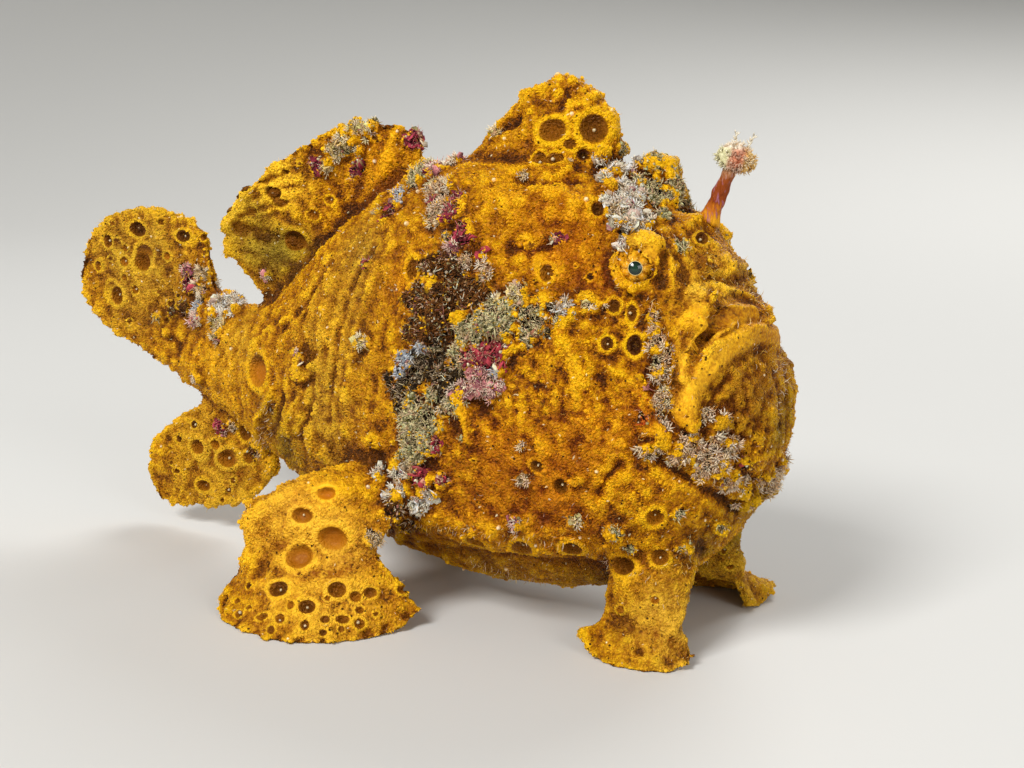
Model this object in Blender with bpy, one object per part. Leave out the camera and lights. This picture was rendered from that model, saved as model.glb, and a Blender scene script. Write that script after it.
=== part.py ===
"""A giant frogfish standing on its paired fins, as a still, life-size museum model.

Sizes are in millimetres here and become metres when a mesh is made. +X runs towards the
head, +Y to the fish's left and +Z up. The soles of the four feet lie on the floor, z = 0.
Every form grows from the named sizes below and from the body's own surface.
"""

import math

import bmesh
import bpy
import numpy as np

MM = 0.001
GAP = 0.3
BODY_MIDDLE_X = -30.9
RIGHT, LEFT = -1, 1
RING_POINTS = 36

# Body: station along the length, back, belly, half width, height of the widest level, lean
BODY_STATIONS = (
    (-114.0, 91.0, 52.5, 5.0, 73.0, 0.41),
    (-106.0, 86.5, 50.0, 8.0, 69.0, 0.38),
    (-97.0, 84.5, 47.0, 11.0, 66.0, 0.30),
    (-86.0, 86.5, 41.0, 14.5, 63.0, 0.20),
    (-74.0, 93.0, 34.0, 19.0, 62.0, 0.10),
    (-58.0, 107.0, 25.0, 25.0, 62.0, 0.03),
    (-40.0, 121.0, 17.5, 31.0, 63.0, 0.0),
    (-20.0, 133.5, 11.0, 36.5, 65.0, 0.0),
    (0.0, 140.0, 7.5, 40.5, 67.0, 0.0),
    (20.0, 142.0, 6.0, 42.5, 68.0, 0.0),
    (40.0, 141.0, 7.5, 42.0, 68.0, 0.0),
    (56.0, 136.0, 10.5, 40.0, 69.0, 0.0),
    (70.0, 128.5, 15.0, 37.5, 70.0, 0.0),
    (80.0, 122.0, 20.5, 35.0, 71.0, 0.0),
    (88.0, 113.5, 28.0, 32.0, 71.0, 0.0),
    (94.0, 104.0, 36.5, 27.5, 71.5, 0.0),
    (98.0, 95.5, 44.5, 22.5, 72.0, 0.0),
    (101.5, 87.5, 53.5, 16.0, 71.0, 0.0),
    (103.6, 79.0, 62.5, 8.0, 71.0, 0.0),
)
# Swellings and hollows of the flanks, alike on both: station, angle up from the side, how far
# they spread along and around, height
RELIEF = ((62.0, -8.0, 15.0, 24.0, 2.4), (22.0, -34.0, 38.0, 9.0, 3.2), (24.0, -54.0, 40.0, 9.0, -3.6),
          (-4.0, -16.0, 18.0, 12.0, 2.2), (44.0, 24.0, 7.0, 22.0, -1.8), (12.0, 62.0, 24.0, 12.0, 1.8),
          (-44.0, 10.0, 16.0, 20.0, -1.6), (84.0, 74.0, 5.0, 16.0, -1.4))
BODY_ROUNDNESS = 2.15
NECK_STATION = 52.0
TAIL_ROOT_STATION = -78.0
TAIL_END_STATION = -114.0
HEAD_STEPS = 13
TORSO_STEPS = 15
STEM_STEPS = 6

# Lower jaw and mouth
JAW_CENTRE = (97.0, 0.0, 62.5)
JAW_RADII = (30.0, 37.0, 33.0)
JAW_SQUARENESS = 3.0
LOWER_LIP = ((97.6, 0.0, 93.8), (97.0, 6.5, 94.3), (95.0, 13.0, 94.8), (91.8, 21.0, 93.2),
             (88.0, 27.5, 89.2), (86.0, 31.0, 84.0), (86.0, 33.0, 78.0), (87.0, 33.5, 71.5))
LOWER_LIP_RADIUS = 3.0
UPPER_LIP = ((96.2, 0.0, 100.2), (95.4, 7.0, 100.8), (93.4, 14.0, 101.8), (90.0, 20.5, 103.0),
             (86.0, 25.0, 102.0), (83.0, 28.5, 98.0), (81.6, 31.0, 91.0), (81.4, 33.0, 83.0),
             (82.0, 34.5, 74.5))
UPPER_LIP_RADIUS = 2.5
MOUTH_HOLLOW = ((96.0, 8.0, 97.8), (94.4, 14.5, 98.6), (91.2, 21.0, 98.4), (88.0, 26.5, 95.6),
                (85.6, 30.0, 90.6), (84.4, 32.5, 83.5))
MOUTH_HOLLOW_RADIUS = 2.9
LIP_SINK = 1.0

# Eyes, with their ring of skin, and the brow behind and above each
EYE_STATION = 67.0
EYE_ANGLE = 43.5
EYE_RADIUS = 4.8
EYE_SINK = 2.4
LID_RING = 5.6
LID_RADIUS = 1.7
BROW_STATION = 69.0
BROW_ANGLE = 51.0
BROW_RADIUS = 5.0
NOSTRILS = ((83.0, 62.0), (87.0, 48.0))
NOSTRIL_RADIUS = 1.5
NOSTRIL_LENGTH = 3.2
NOSTRIL_BORE = 0.75

# The fishing lure: a stalk and its fringed bait
STALK_BASE = (75.5, 0.0, 121.0)
STALK_TOP = (82.6, 0.0, 138.4)
STALK_RADII = (2.9, 2.0)
BAIT_CENTRE = (84.4, 0.0, 141.0)
BAIT_RADIUS = 3.4
BAIT_THREADS = 22
BAIT_THREAD_LENGTH = 4.4
BAIT_THREAD_RADIUS = 0.75

# Second and third spines of the back, both wrapped in flesh
SPINE_TWO = ((64.0, 124.0, 7.5, 7.0), (62.5, 130.0, 8.0, 6.4), (60.5, 135.5, 7.0, 5.2),
             (59.2, 138.6, 4.8, 3.6), (58.6, 139.8, 2.2, 1.8))
SPINE_THREE = ((24.0, 132.0, 28.0, 14.0), (24.5, 141.0, 25.5, 12.5), (27.0, 148.5, 21.5, 10.5),
               (28.6, 154.5, 16.5, 8.5), (29.4, 160.0, 10.5, 6.5), (30.0, 163.0, 6.0, 4.2),
               (30.2, 163.9, 3.0, 2.2))

# Soft fins: outlines run from front to back or from top to bottom, height is z
DORSAL_MARGIN = ((-19.0, 142.0), (-23.5, 146.5), (-30.0, 148.5), (-42.0, 147.0), (-56.0, 143.0),
                 (-68.5, 136.5), (-81.0, 127.0), (-91.0, 118.0), (-96.0, 110.5), (-95.0, 102.0),
                 (-89.0, 94.5))
DORSAL_BASE = (-19.0, -79.0)
DORSAL_RAYS = 13
DORSAL_CURL = 7.0
ANAL_MARGIN = ((-79.0, 24.0), (-88.5, 15.0), (-98.0, 10.5), (-109.0, 8.5), (-121.0, 7.0),
               (-131.0, 9.0), (-135.5, 20.0), (-132.5, 30.0), (-126.0, 37.0), (-116.5, 44.0))
ANAL_BASE = (-76.0, -102.0)
ANAL_RAYS = 8
CAUDAL_MARGIN = ((-106.0, 102.5), (-109.5, 109.5), (-118.0, 113.5), (-134.0, 115.5), (-148.5, 112.5),
                 (-159.0, 104.5), (-165.0, 92.0), (-163.0, 79.5), (-155.0, 70.5), (-143.5, 65.0),
                 (-131.5, 59.5))
CAUDAL_BASE = ((-104.5, 89.5), (-119.5, 54.5))
CAUDAL_RAYS = 9
FIN_ROOT_HALF = 3.6
FIN_EDGE_HALF = 1.0
RAY_RISE = 0.75
FIN_ROWS = 5
FIN_SINK = 7.0

# Arm-like pectoral fins: centre, half width along the body, half thickness, tilt of the thickness
ARM_SECTIONS = (((-4.0, 20.0, 41.0), 16.0, 9.5, 72.0), ((-11.0, 33.0, 40.5), 19.5, 9.5, 62.0),
                ((-17.5, 41.5, 38.0), 22.0, 9.0, 46.0), ((-22.5, 48.0, 33.0), 24.0, 8.0, 26.0),
                ((-24.5, 51.0, 27.0), 23.5, 6.2, 14.0), ((-24.5, 52.0, 21.5), 20.5, 4.0, 8.0),
                ((-24.0, 52.5, 18.5), 16.0, 2.4, 6.0))
ARM_TURN = 14.0
HAND_WRIST = ((-42.0, 55.0, 24.0), (-24.0, 51.0, 24.5), (-6.0, 46.5, 24.0))
HAND_MARGIN = ((-52.0, 60.5, 4.0), (-47.0, 67.0, -0.4), (-36.0, 71.5, -0.7), (-23.0, 72.5, -0.7),
               (-11.0, 68.0, -0.7), (-2.0, 59.0, -0.6), (4.5, 48.5, 0.4), (7.5, 40.0, 5.0))
HAND_RAYS = 9
HAND_ROOT_HALF = 3.0
LEFT_ARM_STEP = 6.0

# Leg-like pelvic fins under the throat
LEG_SECTIONS = (((72.0, 15.0, 36.0), 15.0, 9.5), ((72.5, 20.0, 25.0), 14.5, 8.0),
                ((73.0, 25.0, 15.0), 13.5, 5.6), ((73.5, 28.0, 8.5), 12.0, 3.4))
RIGHT_FOOT_MARGIN = ((55.5, 31.0, 5.0), (60.5, 34.0, 0.6), (68.0, 36.5, -0.7), (77.5, 36.0, -0.7),
                     (85.0, 31.5, -0.6), (89.0, 24.0, 2.5))
LEFT_FOOT_MARGIN = ((57.0, 33.0, 1.5), (64.0, 39.5, -0.7), (73.0, 44.0, -0.7), (82.0, 46.0, -0.7),
                    (90.0, 46.5, 2.5), (89.0, 34.0, -0.4), (87.0, 26.0, 0.6))
FOOT_ANKLE = ((62.5, 25.5, 12.5), (73.0, 25.5, 12.5), (84.0, 24.0, 12.5))
FOOT_RAYS = 6
FOOT_ROOT_HALF = 2.6

# Gill opening, a small pipe of skin behind and below each arm
GILL_STATION = -40.0
GILL_ANGLE = -38.0
GILL_RADIUS = 2.6
GILL_BORE = 1.5
GILL_LENGTH = 4.0
GILL_DEPTH = 6.0

FLESH, CHIN, STALK, BAIT, EYE = "#E2A21C", "#C8961F", "#C8602A", "#E8DCA8", "#24382A"


def clear_scene():
    for item in list(bpy.data.objects):
        bpy.data.objects.remove(item)


def new_collection(name, hidden=False):
    made = bpy.data.collections.new(name)
    bpy.context.scene.collection.children.link(made)
    made.hide_render = hidden
    return made


def curve_through(points, count=None):
    """The points, or count points spread evenly by length, on a smooth curve through them."""
    points = np.array(points, float)
    ends = np.vstack([2 * points[0] - points[1], points, 2 * points[-1] - points[-2]])
    fine = []
    for i in range(len(points) - 1):
        before, start, end, after = ends[i:i + 4]
        for t in np.linspace(0, 1, 12, endpoint=False):
            bend = 2 * before - 5 * start + 4 * end - after
            twist = 3 * (start - end) + after - before
            fine.append(start + 0.5 * t * (end - before + t * (bend + t * twist)))
    fine.append(points[-1])
    fine = np.array(fine)
    if count is None:
        return fine
    run = np.concatenate([[0], np.cumsum(np.linalg.norm(np.diff(fine, axis=0), axis=1))])
    wanted = np.linspace(0, run[-1], count)
    return np.stack([np.interp(wanted, run, fine[:, k]) for k in range(fine.shape[1])], axis=1)


BODY_CURVE = curve_through(BODY_STATIONS)


def body_sizes(station):
    """Back, belly, half width, widest level and lean of the body at one station."""
    return [float(np.interp(station, BODY_CURVE[:, 0], BODY_CURVE[:, k])) for k in range(1, 6)]


def body_point(station, angle):
    """A point of the skin: the angle is 0 at the fish's left, 90 on the back, 180 at its right."""
    back, belly, half_width, middle, lean = body_sizes(station)
    across, up = math.cos(math.radians(angle)), math.sin(math.radians(angle))
    power = 2 / BODY_ROUNDNESS
    y = half_width * math.copysign(abs(across) ** power, across)
    reach = back - middle if up > 0 else middle - belly
    z = middle + reach * math.copysign(abs(up) ** power, up)
    above = math.degrees(math.atan2(up, abs(across)))
    swell = sum(height * math.exp(-((station - s) / along) ** 2 - ((above - a) / around) ** 2)
                for s, a, along, around, height in RELIEF)
    y += swell * across
    z += swell * up
    return np.array([station + lean * (z - middle), y, z])


def on_skin(point, out=0.0):
    """The place on the skin that lies straight out from the body's middle line past a point."""
    x, y, z = point
    back, belly, half_width, middle, _ = body_sizes(x)
    reach = back - middle if z > middle else middle - belly
    across = math.copysign(abs(y / half_width) ** (BODY_ROUNDNESS / 2), y)
    up = math.copysign(abs((z - middle) / reach) ** (BODY_ROUNDNESS / 2), z - middle)
    angle = math.degrees(math.atan2(up, across))
    return body_point(x, angle) + body_normal(x, angle) * out


def body_normal(station, angle):
    ahead = body_point(station + 0.5, angle) - body_point(station - 0.5, angle)
    round_it = body_point(station, angle + 0.5) - body_point(station, angle - 0.5)
    normal = np.cross(ahead, round_it)
    normal /= np.linalg.norm(normal)
    outward = body_point(station, angle) - np.array([station, 0, body_sizes(station)[3]])
    return normal if normal @ outward > 0 else -normal


def side_angle(angle, side):
    return angle if side == LEFT else 180 - angle


def mirrored(point, side):
    return np.array([point[0], point[1] * side, point[2]])


def mesh_object(name, points, faces, workshop):
    """A mesh object made from points in millimetres, with its faces turned outwards."""
    places = (np.array(points, float) - (BODY_MIDDLE_X, 0, 0)) * MM
    mesh = bpy.data.meshes.new(name)
    mesh.from_pydata(places.tolist(), [], faces)
    turn_outwards(mesh)
    made = bpy.data.objects.new(name, mesh)
    workshop.objects.link(made)
    return made


def turn_outwards(mesh):
    edit = bmesh.new()
    edit.from_mesh(mesh)
    bmesh.ops.recalc_face_normals(edit, faces=edit.faces)
    if edit.calc_volume(signed=True) < 0:
        bmesh.ops.reverse_faces(edit, faces=edit.faces)
    edit.to_mesh(mesh)
    edit.free()


def loft(name, rings, workshop):
    """A closed form through rings of points, each with as many points, flat at both ends."""
    size = len(rings[0])
    points = [point for ring in rings for point in ring]
    faces = []
    for row in range(len(rings) - 1):
        for k in range(size):
            here, after = row * size + k, row * size + (k + 1) % size
            faces.append((here, after, after + size))
            faces.append((here, after + size, here + size))
    faces.append(tuple(range(size)))
    last = (len(rings) - 1) * size
    faces.append(tuple(range(last, last + size)))
    return mesh_object(name, points, faces, workshop)


def oval(centre, long_axis, short_axis, count):
    """A ring of points round an oval given by its centre and its two half axes."""
    turns = [2 * math.pi * k / count for k in range(count)]
    centre, long_axis, short_axis = (np.array(v, float) for v in (centre, long_axis, short_axis))
    return [centre + long_axis * math.cos(t) + short_axis * math.sin(t) for t in turns]


def ball(name, centre, radii, workshop, segments=20, rings=12, squareness=2.0):
    """A ball with three radii; a squareness over 2 fills its corners out."""
    edit = bmesh.new()
    bmesh.ops.create_uvsphere(edit, u_segments=segments, v_segments=rings, radius=1)
    points = []
    for vert in edit.verts:
        way = np.array(vert.co)
        reach = np.sum(np.abs(way) ** squareness) ** (1 / squareness)
        points.append(way / reach * radii + centre)
    faces = [[v.index for v in face.verts] for face in edit.faces]
    edit.free()
    return mesh_object(name, points, faces, workshop)


def frame_of(direction):
    """Two unit vectors square to a direction and to each other."""
    direction = np.array(direction, float) / np.linalg.norm(direction)
    helper = np.array([0.0, 0.0, 1.0]) if abs(direction[2]) < 0.9 else np.array([1.0, 0.0, 0.0])
    first = np.cross(helper, direction)
    first /= np.linalg.norm(first)
    return first, np.cross(direction, first)


def rod(name, start, end, radii, workshop, sides=10):
    """A straight tapered rod with flat ends."""
    start, end = np.array(start, float), np.array(end, float)
    first, second = frame_of(end - start)
    rings = [oval(place, first * radius, second * radius, sides)
             for place, radius in zip((start, end), radii)]
    return loft(name, rings, workshop)


def tube(name, path, radius, workshop, closed=False):
    """A round bar along a path, made by a bevelled curve and closed at its ends."""
    places = (np.array(path, float) - (BODY_MIDDLE_X, 0, 0)) * MM
    data = bpy.data.curves.new(name, "CURVE")
    data.dimensions = "3D"
    data.bevel_depth = radius * MM
    data.bevel_resolution = 2
    data.use_fill_caps = True
    spline = data.splines.new("POLY")
    spline.points.add(len(places) - 1)
    spline.use_cyclic_u = closed
    for point, place in zip(spline.points, places):
        point.co = (*place, 1)
    curve = bpy.data.objects.new(name, data)
    workshop.objects.link(curve)
    bpy.context.view_layer.update()
    graph = bpy.context.evaluated_depsgraph_get()
    mesh = bpy.data.meshes.new_from_object(curve.evaluated_get(graph))
    bpy.data.objects.remove(curve)
    edit = bmesh.new()
    edit.from_mesh(mesh)
    bmesh.ops.remove_doubles(edit, verts=edit.verts, dist=1e-6)
    edit.to_mesh(mesh)
    edit.free()
    turn_outwards(mesh)
    made = bpy.data.objects.new(name, mesh)
    workshop.objects.link(made)
    return made


def applied(target):
    """Replaces an object's mesh by the evaluated one and clears its modifiers."""
    bpy.context.view_layer.update()
    graph = bpy.context.evaluated_depsgraph_get()
    mesh = bpy.data.meshes.new_from_object(target.evaluated_get(graph))
    target.modifiers.clear()
    target.data = mesh
    return target


def boolean(target, operation, others):
    """Unites with, cuts or keeps what a set of closed meshes shares, and removes the set."""
    pieces = bpy.data.collections.new("pieces")
    bpy.context.scene.collection.children.link(pieces)
    for other in others:
        pieces.objects.link(other)
    modifier = target.modifiers.new(operation.lower(), "BOOLEAN")
    modifier.operation = operation
    modifier.operand_type = "COLLECTION"
    modifier.collection = pieces
    applied(target)
    for other in others:
        bpy.data.objects.remove(other)
    bpy.data.collections.remove(pieces)
    return keep_largest(target)


def keep_largest(target):
    """Keeps only the largest closed surface of an object."""
    edit = bmesh.new()
    edit.from_mesh(target.data)
    bmesh.ops.remove_doubles(edit, verts=edit.verts, dist=2e-6)
    bmesh.ops.dissolve_degenerate(edit, edges=edit.edges, dist=1e-6)
    left = set(edit.verts)
    groups = []
    while left:
        found = {left.pop()}
        edge_of_group = list(found)
        while edge_of_group:
            vert = edge_of_group.pop()
            for edge in vert.link_edges:
                other = edge.other_vert(vert)
                if other in left:
                    left.remove(other)
                    found.add(other)
                    edge_of_group.append(other)
        groups.append(found)
    biggest = max(groups, key=spread)
    bmesh.ops.delete(edit, geom=[v for v in edit.verts if v not in biggest], context="VERTS")
    edit.to_mesh(target.data)
    edit.free()
    return target


def spread(verts):
    """The volume of the box round some vertices."""
    places = np.array([vert.co for vert in verts])
    return float(np.prod(places.max(axis=0) - places.min(axis=0)))


def grown(source, workshop, by=GAP):
    """A copy of an object whose surface is moved outwards, to cut room for it."""
    mesh = source.data.copy()
    edit = bmesh.new()
    edit.from_mesh(mesh)
    bmesh.ops.triangulate(edit, faces=edit.faces)
    edit.normal_update()
    moves = [vert.normal * by * MM for vert in edit.verts]
    for vert, move in zip(edit.verts, moves):
        vert.co += move
    edit.to_mesh(mesh)
    edit.free()
    made = bpy.data.objects.new("room_" + source.name, mesh)
    workshop.objects.link(made)
    return made


def clear_of(target, neighbours, workshop):
    """Cuts an object back until it meets its neighbours with the gap between."""
    return boolean(target, "DIFFERENCE", [grown(item, workshop) for item in neighbours])


def floor_block(workshop):
    """The space below the floor, which trims the soles flat."""
    far, deep = 250, 60
    corners = [(x, y, z) for z in (-deep, 0) for y in (-far, far) for x in (-far, far)]
    sides = [(0, 1, 3, 2), (4, 5, 7, 6), (0, 1, 5, 4), (2, 3, 7, 6), (0, 2, 6, 4), (1, 3, 7, 5)]
    return mesh_object("floor_block", corners, sides, workshop)


def paint(target, colour, roughness):
    """Gives an object its own plain material."""
    material = bpy.data.materials.new(target.name)
    material.use_nodes = True
    shader = material.node_tree.nodes["Principled BSDF"]
    channels = [int(colour[i:i + 2], 16) / 255 for i in (1, 3, 5)]
    linear = [c / 12.92 if c <= 0.04045 else ((c + 0.055) / 1.055) ** 2.4 for c in channels]
    shader.inputs["Base Color"].default_value = (*linear, 1)
    shader.inputs["Roughness"].default_value = roughness
    shader.inputs["Metallic"].default_value = 0
    target.data.materials.clear()
    target.data.materials.append(material)


def body_length(name, start, end, steps, workshop):
    """A length of the body between two stations."""
    rings = []
    for station in np.linspace(start, end, steps):
        turns = [360 * k / RING_POINTS for k in range(RING_POINTS)]
        rings.append([body_point(station, turn) for turn in turns])
    return loft(name, rings, workshop)


def front_of_head(name, workshop):
    """The head from the neck forwards, with stations set closer towards the blunt face."""
    start, end = NECK_STATION + GAP / 2, BODY_STATIONS[-1][0]
    rings = []
    for share in np.linspace(0, 1, HEAD_STEPS):
        station = start + (end - start) * math.sin(share * math.pi / 2)
        rings.append([body_point(station, 360 * k / RING_POINTS) for k in range(RING_POINTS)])
    return loft(name, rings, workshop)


def both_sides(path):
    """A path given from the middle of the face to one corner, made whole from corner to corner."""
    path = np.array(path, float)
    other = path[:0:-1] * (1, -1, 1)
    return np.vstack([other, path])


def lip_path(points, count, sink=LIP_SINK):
    """A lip's path on the skin from one corner of the mouth to the other."""
    return [on_skin(point, -sink) for point in curve_through(both_sides(points), count)]


def jaw_forms(name, room, workshop):
    """The ball that the lower jaw fills and the bar of its lip, both larger by some room."""
    radii = [radius + room for radius in JAW_RADII]
    lip = tube("lower_lip", lip_path(LOWER_LIP, 26), LOWER_LIP_RADIUS + room, workshop)
    return ball(name, JAW_CENTRE, radii, workshop, 28, 18, JAW_SQUARENESS), lip


def lower_jaw(plain_head, workshop):
    """The scoop of the lower jaw, with the chin's skin outside and its thick lip."""
    jaw, lip = jaw_forms("lower_jaw", 0, workshop)
    boolean(jaw, "INTERSECT", [grown(plain_head, workshop, 0)])
    return boolean(jaw, "UNION", [lip])


def add_mouth(head, workshop):
    """The upper lip round the gape, with the membrane lying back behind it."""
    boolean(head, "UNION", [tube("upper_lip", lip_path(UPPER_LIP, 30), UPPER_LIP_RADIUS, workshop)])
    hollows = []
    for side in (RIGHT, LEFT):
        path = curve_through([mirrored(p, side) for p in MOUTH_HOLLOW], 10)
        path = [on_skin(point) for point in path]
        hollows.append(tube("mouth_hollow", path, MOUTH_HOLLOW_RADIUS, workshop))
    return boolean(head, "DIFFERENCE", hollows)


def eye_place(side):
    angle = side_angle(EYE_ANGLE, side)
    normal = body_normal(EYE_STATION, angle)
    return body_point(EYE_STATION, angle) - normal * EYE_SINK, normal


def add_face(head, workshop):
    """Rings of skin round the eyes, brows and the two pipe-like nostrils of each side."""
    forms, bores = [], []
    for side in (RIGHT, LEFT):
        centre, normal = eye_place(side)
        first, second = frame_of(normal)
        ring = oval(centre + normal * EYE_SINK, first * LID_RING, second * LID_RING, 14)
        forms.append(tube("lid", ring, LID_RADIUS, workshop, closed=True))
        brow = body_point(BROW_STATION, side_angle(BROW_ANGLE, side))
        forms.append(ball("brow", brow, (BROW_RADIUS,) * 3, workshop, 10, 7))
        for station, angle in NOSTRILS:
            turn = side_angle(angle, side)
            place, out = body_point(station, turn), body_normal(station, turn)
            radii = (NOSTRIL_RADIUS * 1.3, NOSTRIL_RADIUS)
            top = place + out * NOSTRIL_LENGTH
            forms.append(rod("nostril", place - out * 2, top, radii, workshop, 8))
            bore = (NOSTRIL_BORE, NOSTRIL_BORE)
            bores.append(rod("nostril_bore", top - out * 2.5, top + out, bore, workshop, 6))
    boolean(head, "UNION", forms)
    for side in (RIGHT, LEFT):
        room = (EYE_RADIUS + GAP,) * 3
        bores.append(ball("socket", eye_place(side)[0], room, workshop, 18, 12))
    return boolean(head, "DIFFERENCE", bores)


def lure_stalk(workshop):
    return rod("illicium", STALK_BASE, STALK_TOP, STALK_RADII, workshop, 12)


def lure_bait(workshop):
    """The cream bait: a small core with threads standing out of it all round."""
    bait = ball("esca", BAIT_CENTRE, (BAIT_RADIUS,) * 3, workshop, 12, 8)
    threads = []
    golden = math.pi * (3 - math.sqrt(5))
    up = np.array(STALK_TOP) - STALK_BASE
    up /= np.linalg.norm(up)
    first, second = frame_of(up)
    draw = np.random.default_rng(7)
    for k in range(BAIT_THREADS):
        rise = 1 - 1.75 * (k + 0.5) / BAIT_THREADS
        turn = golden * k
        level = math.sqrt(1 - rise * rise)
        out = up * rise + first * level * math.cos(turn) + second * level * math.sin(turn)
        length = BAIT_RADIUS + BAIT_THREAD_LENGTH * draw.uniform(0.6, 1.0)
        start = np.array(BAIT_CENTRE) + out * BAIT_RADIUS * 0.5
        end = np.array(BAIT_CENTRE) + out * length
        radii = (BAIT_THREAD_RADIUS, BAIT_THREAD_RADIUS * 0.35)
        threads.append(rod("thread", start, end, radii, workshop, 5))
    return boolean(bait, "UNION", threads)


def fleshy_spine(name, sections, workshop, sides=24):
    """A spine of the back in its thick wrap of flesh, from level ovals."""
    rings = [oval((x, 0, z), (half_long, 0, 0), (0, half_thick, 0), sides)
             for x, z, half_long, half_thick in sections]
    return loft(name, rings, workshop)


def fin(name, root, margin, rays, root_half, workshop, curl=0.0, rows=FIN_ROWS):
    """A fin between its root line and its margin, with rays as ridges in both faces.

    The two faces share one grid, so that they are split into triangles alike.
    """
    columns = 2 * rays + 1
    root = curve_through(root, columns)
    margin = curve_through(margin, columns)
    grid = np.zeros((columns, rows + 1, 3))
    for i in range(columns):
        for j in range(rows + 1):
            share = j / rows
            grid[i, j] = root[i] * (1 - share) + margin[i] * share
            swell = math.sin(math.pi * min(1.0, i / (columns - 1)) ** 1.4)
            grid[i, j, 1] += curl * swell * share ** 2
    along = np.gradient(grid, axis=0)
    outward = np.gradient(grid, axis=1)
    normals = np.cross(along, outward)
    normals /= np.linalg.norm(normals, axis=2, keepdims=True)
    half = np.zeros((columns, rows + 1))
    for i in range(columns):
        side_share = min(1.0, min(i, columns - 1 - i) / 2)
        for j in range(rows + 1):
            share = (j / rows) ** 0.7
            plain = root_half * (1 - share) + FIN_EDGE_HALF * share
            ridge = RAY_RISE * (1 - 0.4 * share) if i % 2 else 0
            half[i, j] = FIN_EDGE_HALF * (1 - side_share) + (plain + ridge) * side_share
            half[i, j] = max(half[i, j], plain * 0.6)
    return fin_mesh(name, grid, normals * half[:, :, None], workshop)


def fin_mesh(name, grid, offsets, workshop):
    """Closes the two faces of a fin into one solid."""
    columns, rows = grid.shape[:2]
    points = np.concatenate([(grid + offsets).reshape(-1, 3), (grid - offsets).reshape(-1, 3)])
    back = columns * rows
    faces = []
    for i in range(columns - 1):
        for j in range(rows - 1):
            a, b = i * rows + j, (i + 1) * rows + j
            faces += [(a, b, b + 1), (a, b + 1, a + 1)]
            faces += [(back + a, back + b + 1, back + b), (back + a, back + a + 1, back + b + 1)]
    rim = [(i, 0) for i in range(columns)] + [(columns - 1, j) for j in range(1, rows)]
    rim += [(i, rows - 1) for i in range(columns - 2, -1, -1)] + [(0, j) for j in range(rows - 2, 0, -1)]
    for k, (i, j) in enumerate(rim):
        m, n = rim[(k + 1) % len(rim)]
        a, b = i * rows + j, m * rows + n
        faces += [(a, back + a, back + b), (a, back + b, b)]
    return mesh_object(name, points, faces, workshop)


def upright(outline):
    """Points given as length and height, set in the fish's middle plane."""
    return [(x, 0.0, z) for x, z in outline]


def dorsal_fin(workshop):
    start, end = DORSAL_BASE
    root = [(x, 0, body_sizes(x)[0] - FIN_SINK) for x in np.linspace(start, end, 7)]
    return fin("dorsal_fin", root, upright(DORSAL_MARGIN), DORSAL_RAYS, FIN_ROOT_HALF + 1, workshop,
               curl=DORSAL_CURL * RIGHT)


def anal_fin(workshop):
    start, end = ANAL_BASE
    root = [(x, 0, body_sizes(x)[1] + FIN_SINK) for x in np.linspace(start, end, 5)]
    return fin("anal_fin", root, upright(ANAL_MARGIN), ANAL_RAYS, FIN_ROOT_HALF, workshop, curl=-3)


def caudal_fin(workshop):
    root = upright([np.array(CAUDAL_BASE[0]) * (1 - t) + np.array(CAUDAL_BASE[1]) * t
                    for t in (0, 0.33, 0.67, 1)])
    return fin("caudal_fin", root, upright(CAUDAL_MARGIN), CAUDAL_RAYS, FIN_ROOT_HALF, workshop, curl=-4)


def pectoral_arm(side, workshop):
    """The thick, elbowed upper part of a pectoral fin."""
    step = LEFT_ARM_STEP if side == LEFT else 0
    turn = math.radians(ARM_TURN)
    along = np.array([math.cos(turn), -math.sin(turn), 0])
    rings = []
    for centre, half_width, half_thick, tilt in ARM_SECTIONS:
        lean = math.radians(tilt)
        through = np.array([0, math.cos(lean), math.sin(lean)])
        ring = oval(centre, along * half_width, through * half_thick, 20)
        rings.append([mirrored(point + (step, 0, 0), side) for point in ring])
    return loft("pectoral_arm_" + side_word(side), rings, workshop)


def side_word(side):
    return "left" if side == LEFT else "right"


def pectoral_hand(side, workshop):
    """The spread rays of a pectoral fin, set down like a hand."""
    step = LEFT_ARM_STEP if side == LEFT else 0
    root = [mirrored(np.array(p) + (step, 0, 0), side) for p in HAND_WRIST]
    margin = [mirrored(np.array(p) + (step, 0, 0), side) for p in HAND_MARGIN]
    return fin("pectoral_hand_" + side_word(side), root, margin, HAND_RAYS, HAND_ROOT_HALF, workshop)


def pelvic_fin(side, margin, workshop):
    """A pelvic fin: a short leg and the foot of rays that it stands on."""
    rings = []
    for centre, half_long, half_thick in LEG_SECTIONS:
        ring = oval(centre, (half_long, 0, 0), (0, half_thick * 0.9, half_thick * 0.45), 18)
        rings.append([mirrored(point, side) for point in ring])
    leg = loft("pelvic_fin_" + side_word(side), rings, workshop)
    root = [mirrored(p, side) for p in FOOT_ANKLE]
    edge = [mirrored(p, side) for p in margin]
    foot = fin("foot", root, edge, FOOT_RAYS, FOOT_ROOT_HALF, workshop, rows=4)
    return boolean(leg, "UNION", [foot])


def add_gill_openings(torso, workshop):
    """The small round gill opening of each side, on its own short pipe of skin."""
    pipes, bores = [], []
    for side in (RIGHT, LEFT):
        turn = side_angle(GILL_ANGLE, side)
        place, out = body_point(GILL_STATION, turn), body_normal(GILL_STATION, turn)
        top = place + out * GILL_LENGTH
        pipes.append(rod("gill", place - out * 3, top, (GILL_RADIUS * 1.5, GILL_RADIUS), workshop, 12))
        bore = (GILL_BORE, GILL_BORE)
        bores.append(rod("gill_bore", top - out * GILL_DEPTH, top + out, bore, workshop, 8))
    boolean(torso, "UNION", pipes)
    return boolean(torso, "DIFFERENCE", bores)


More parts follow.
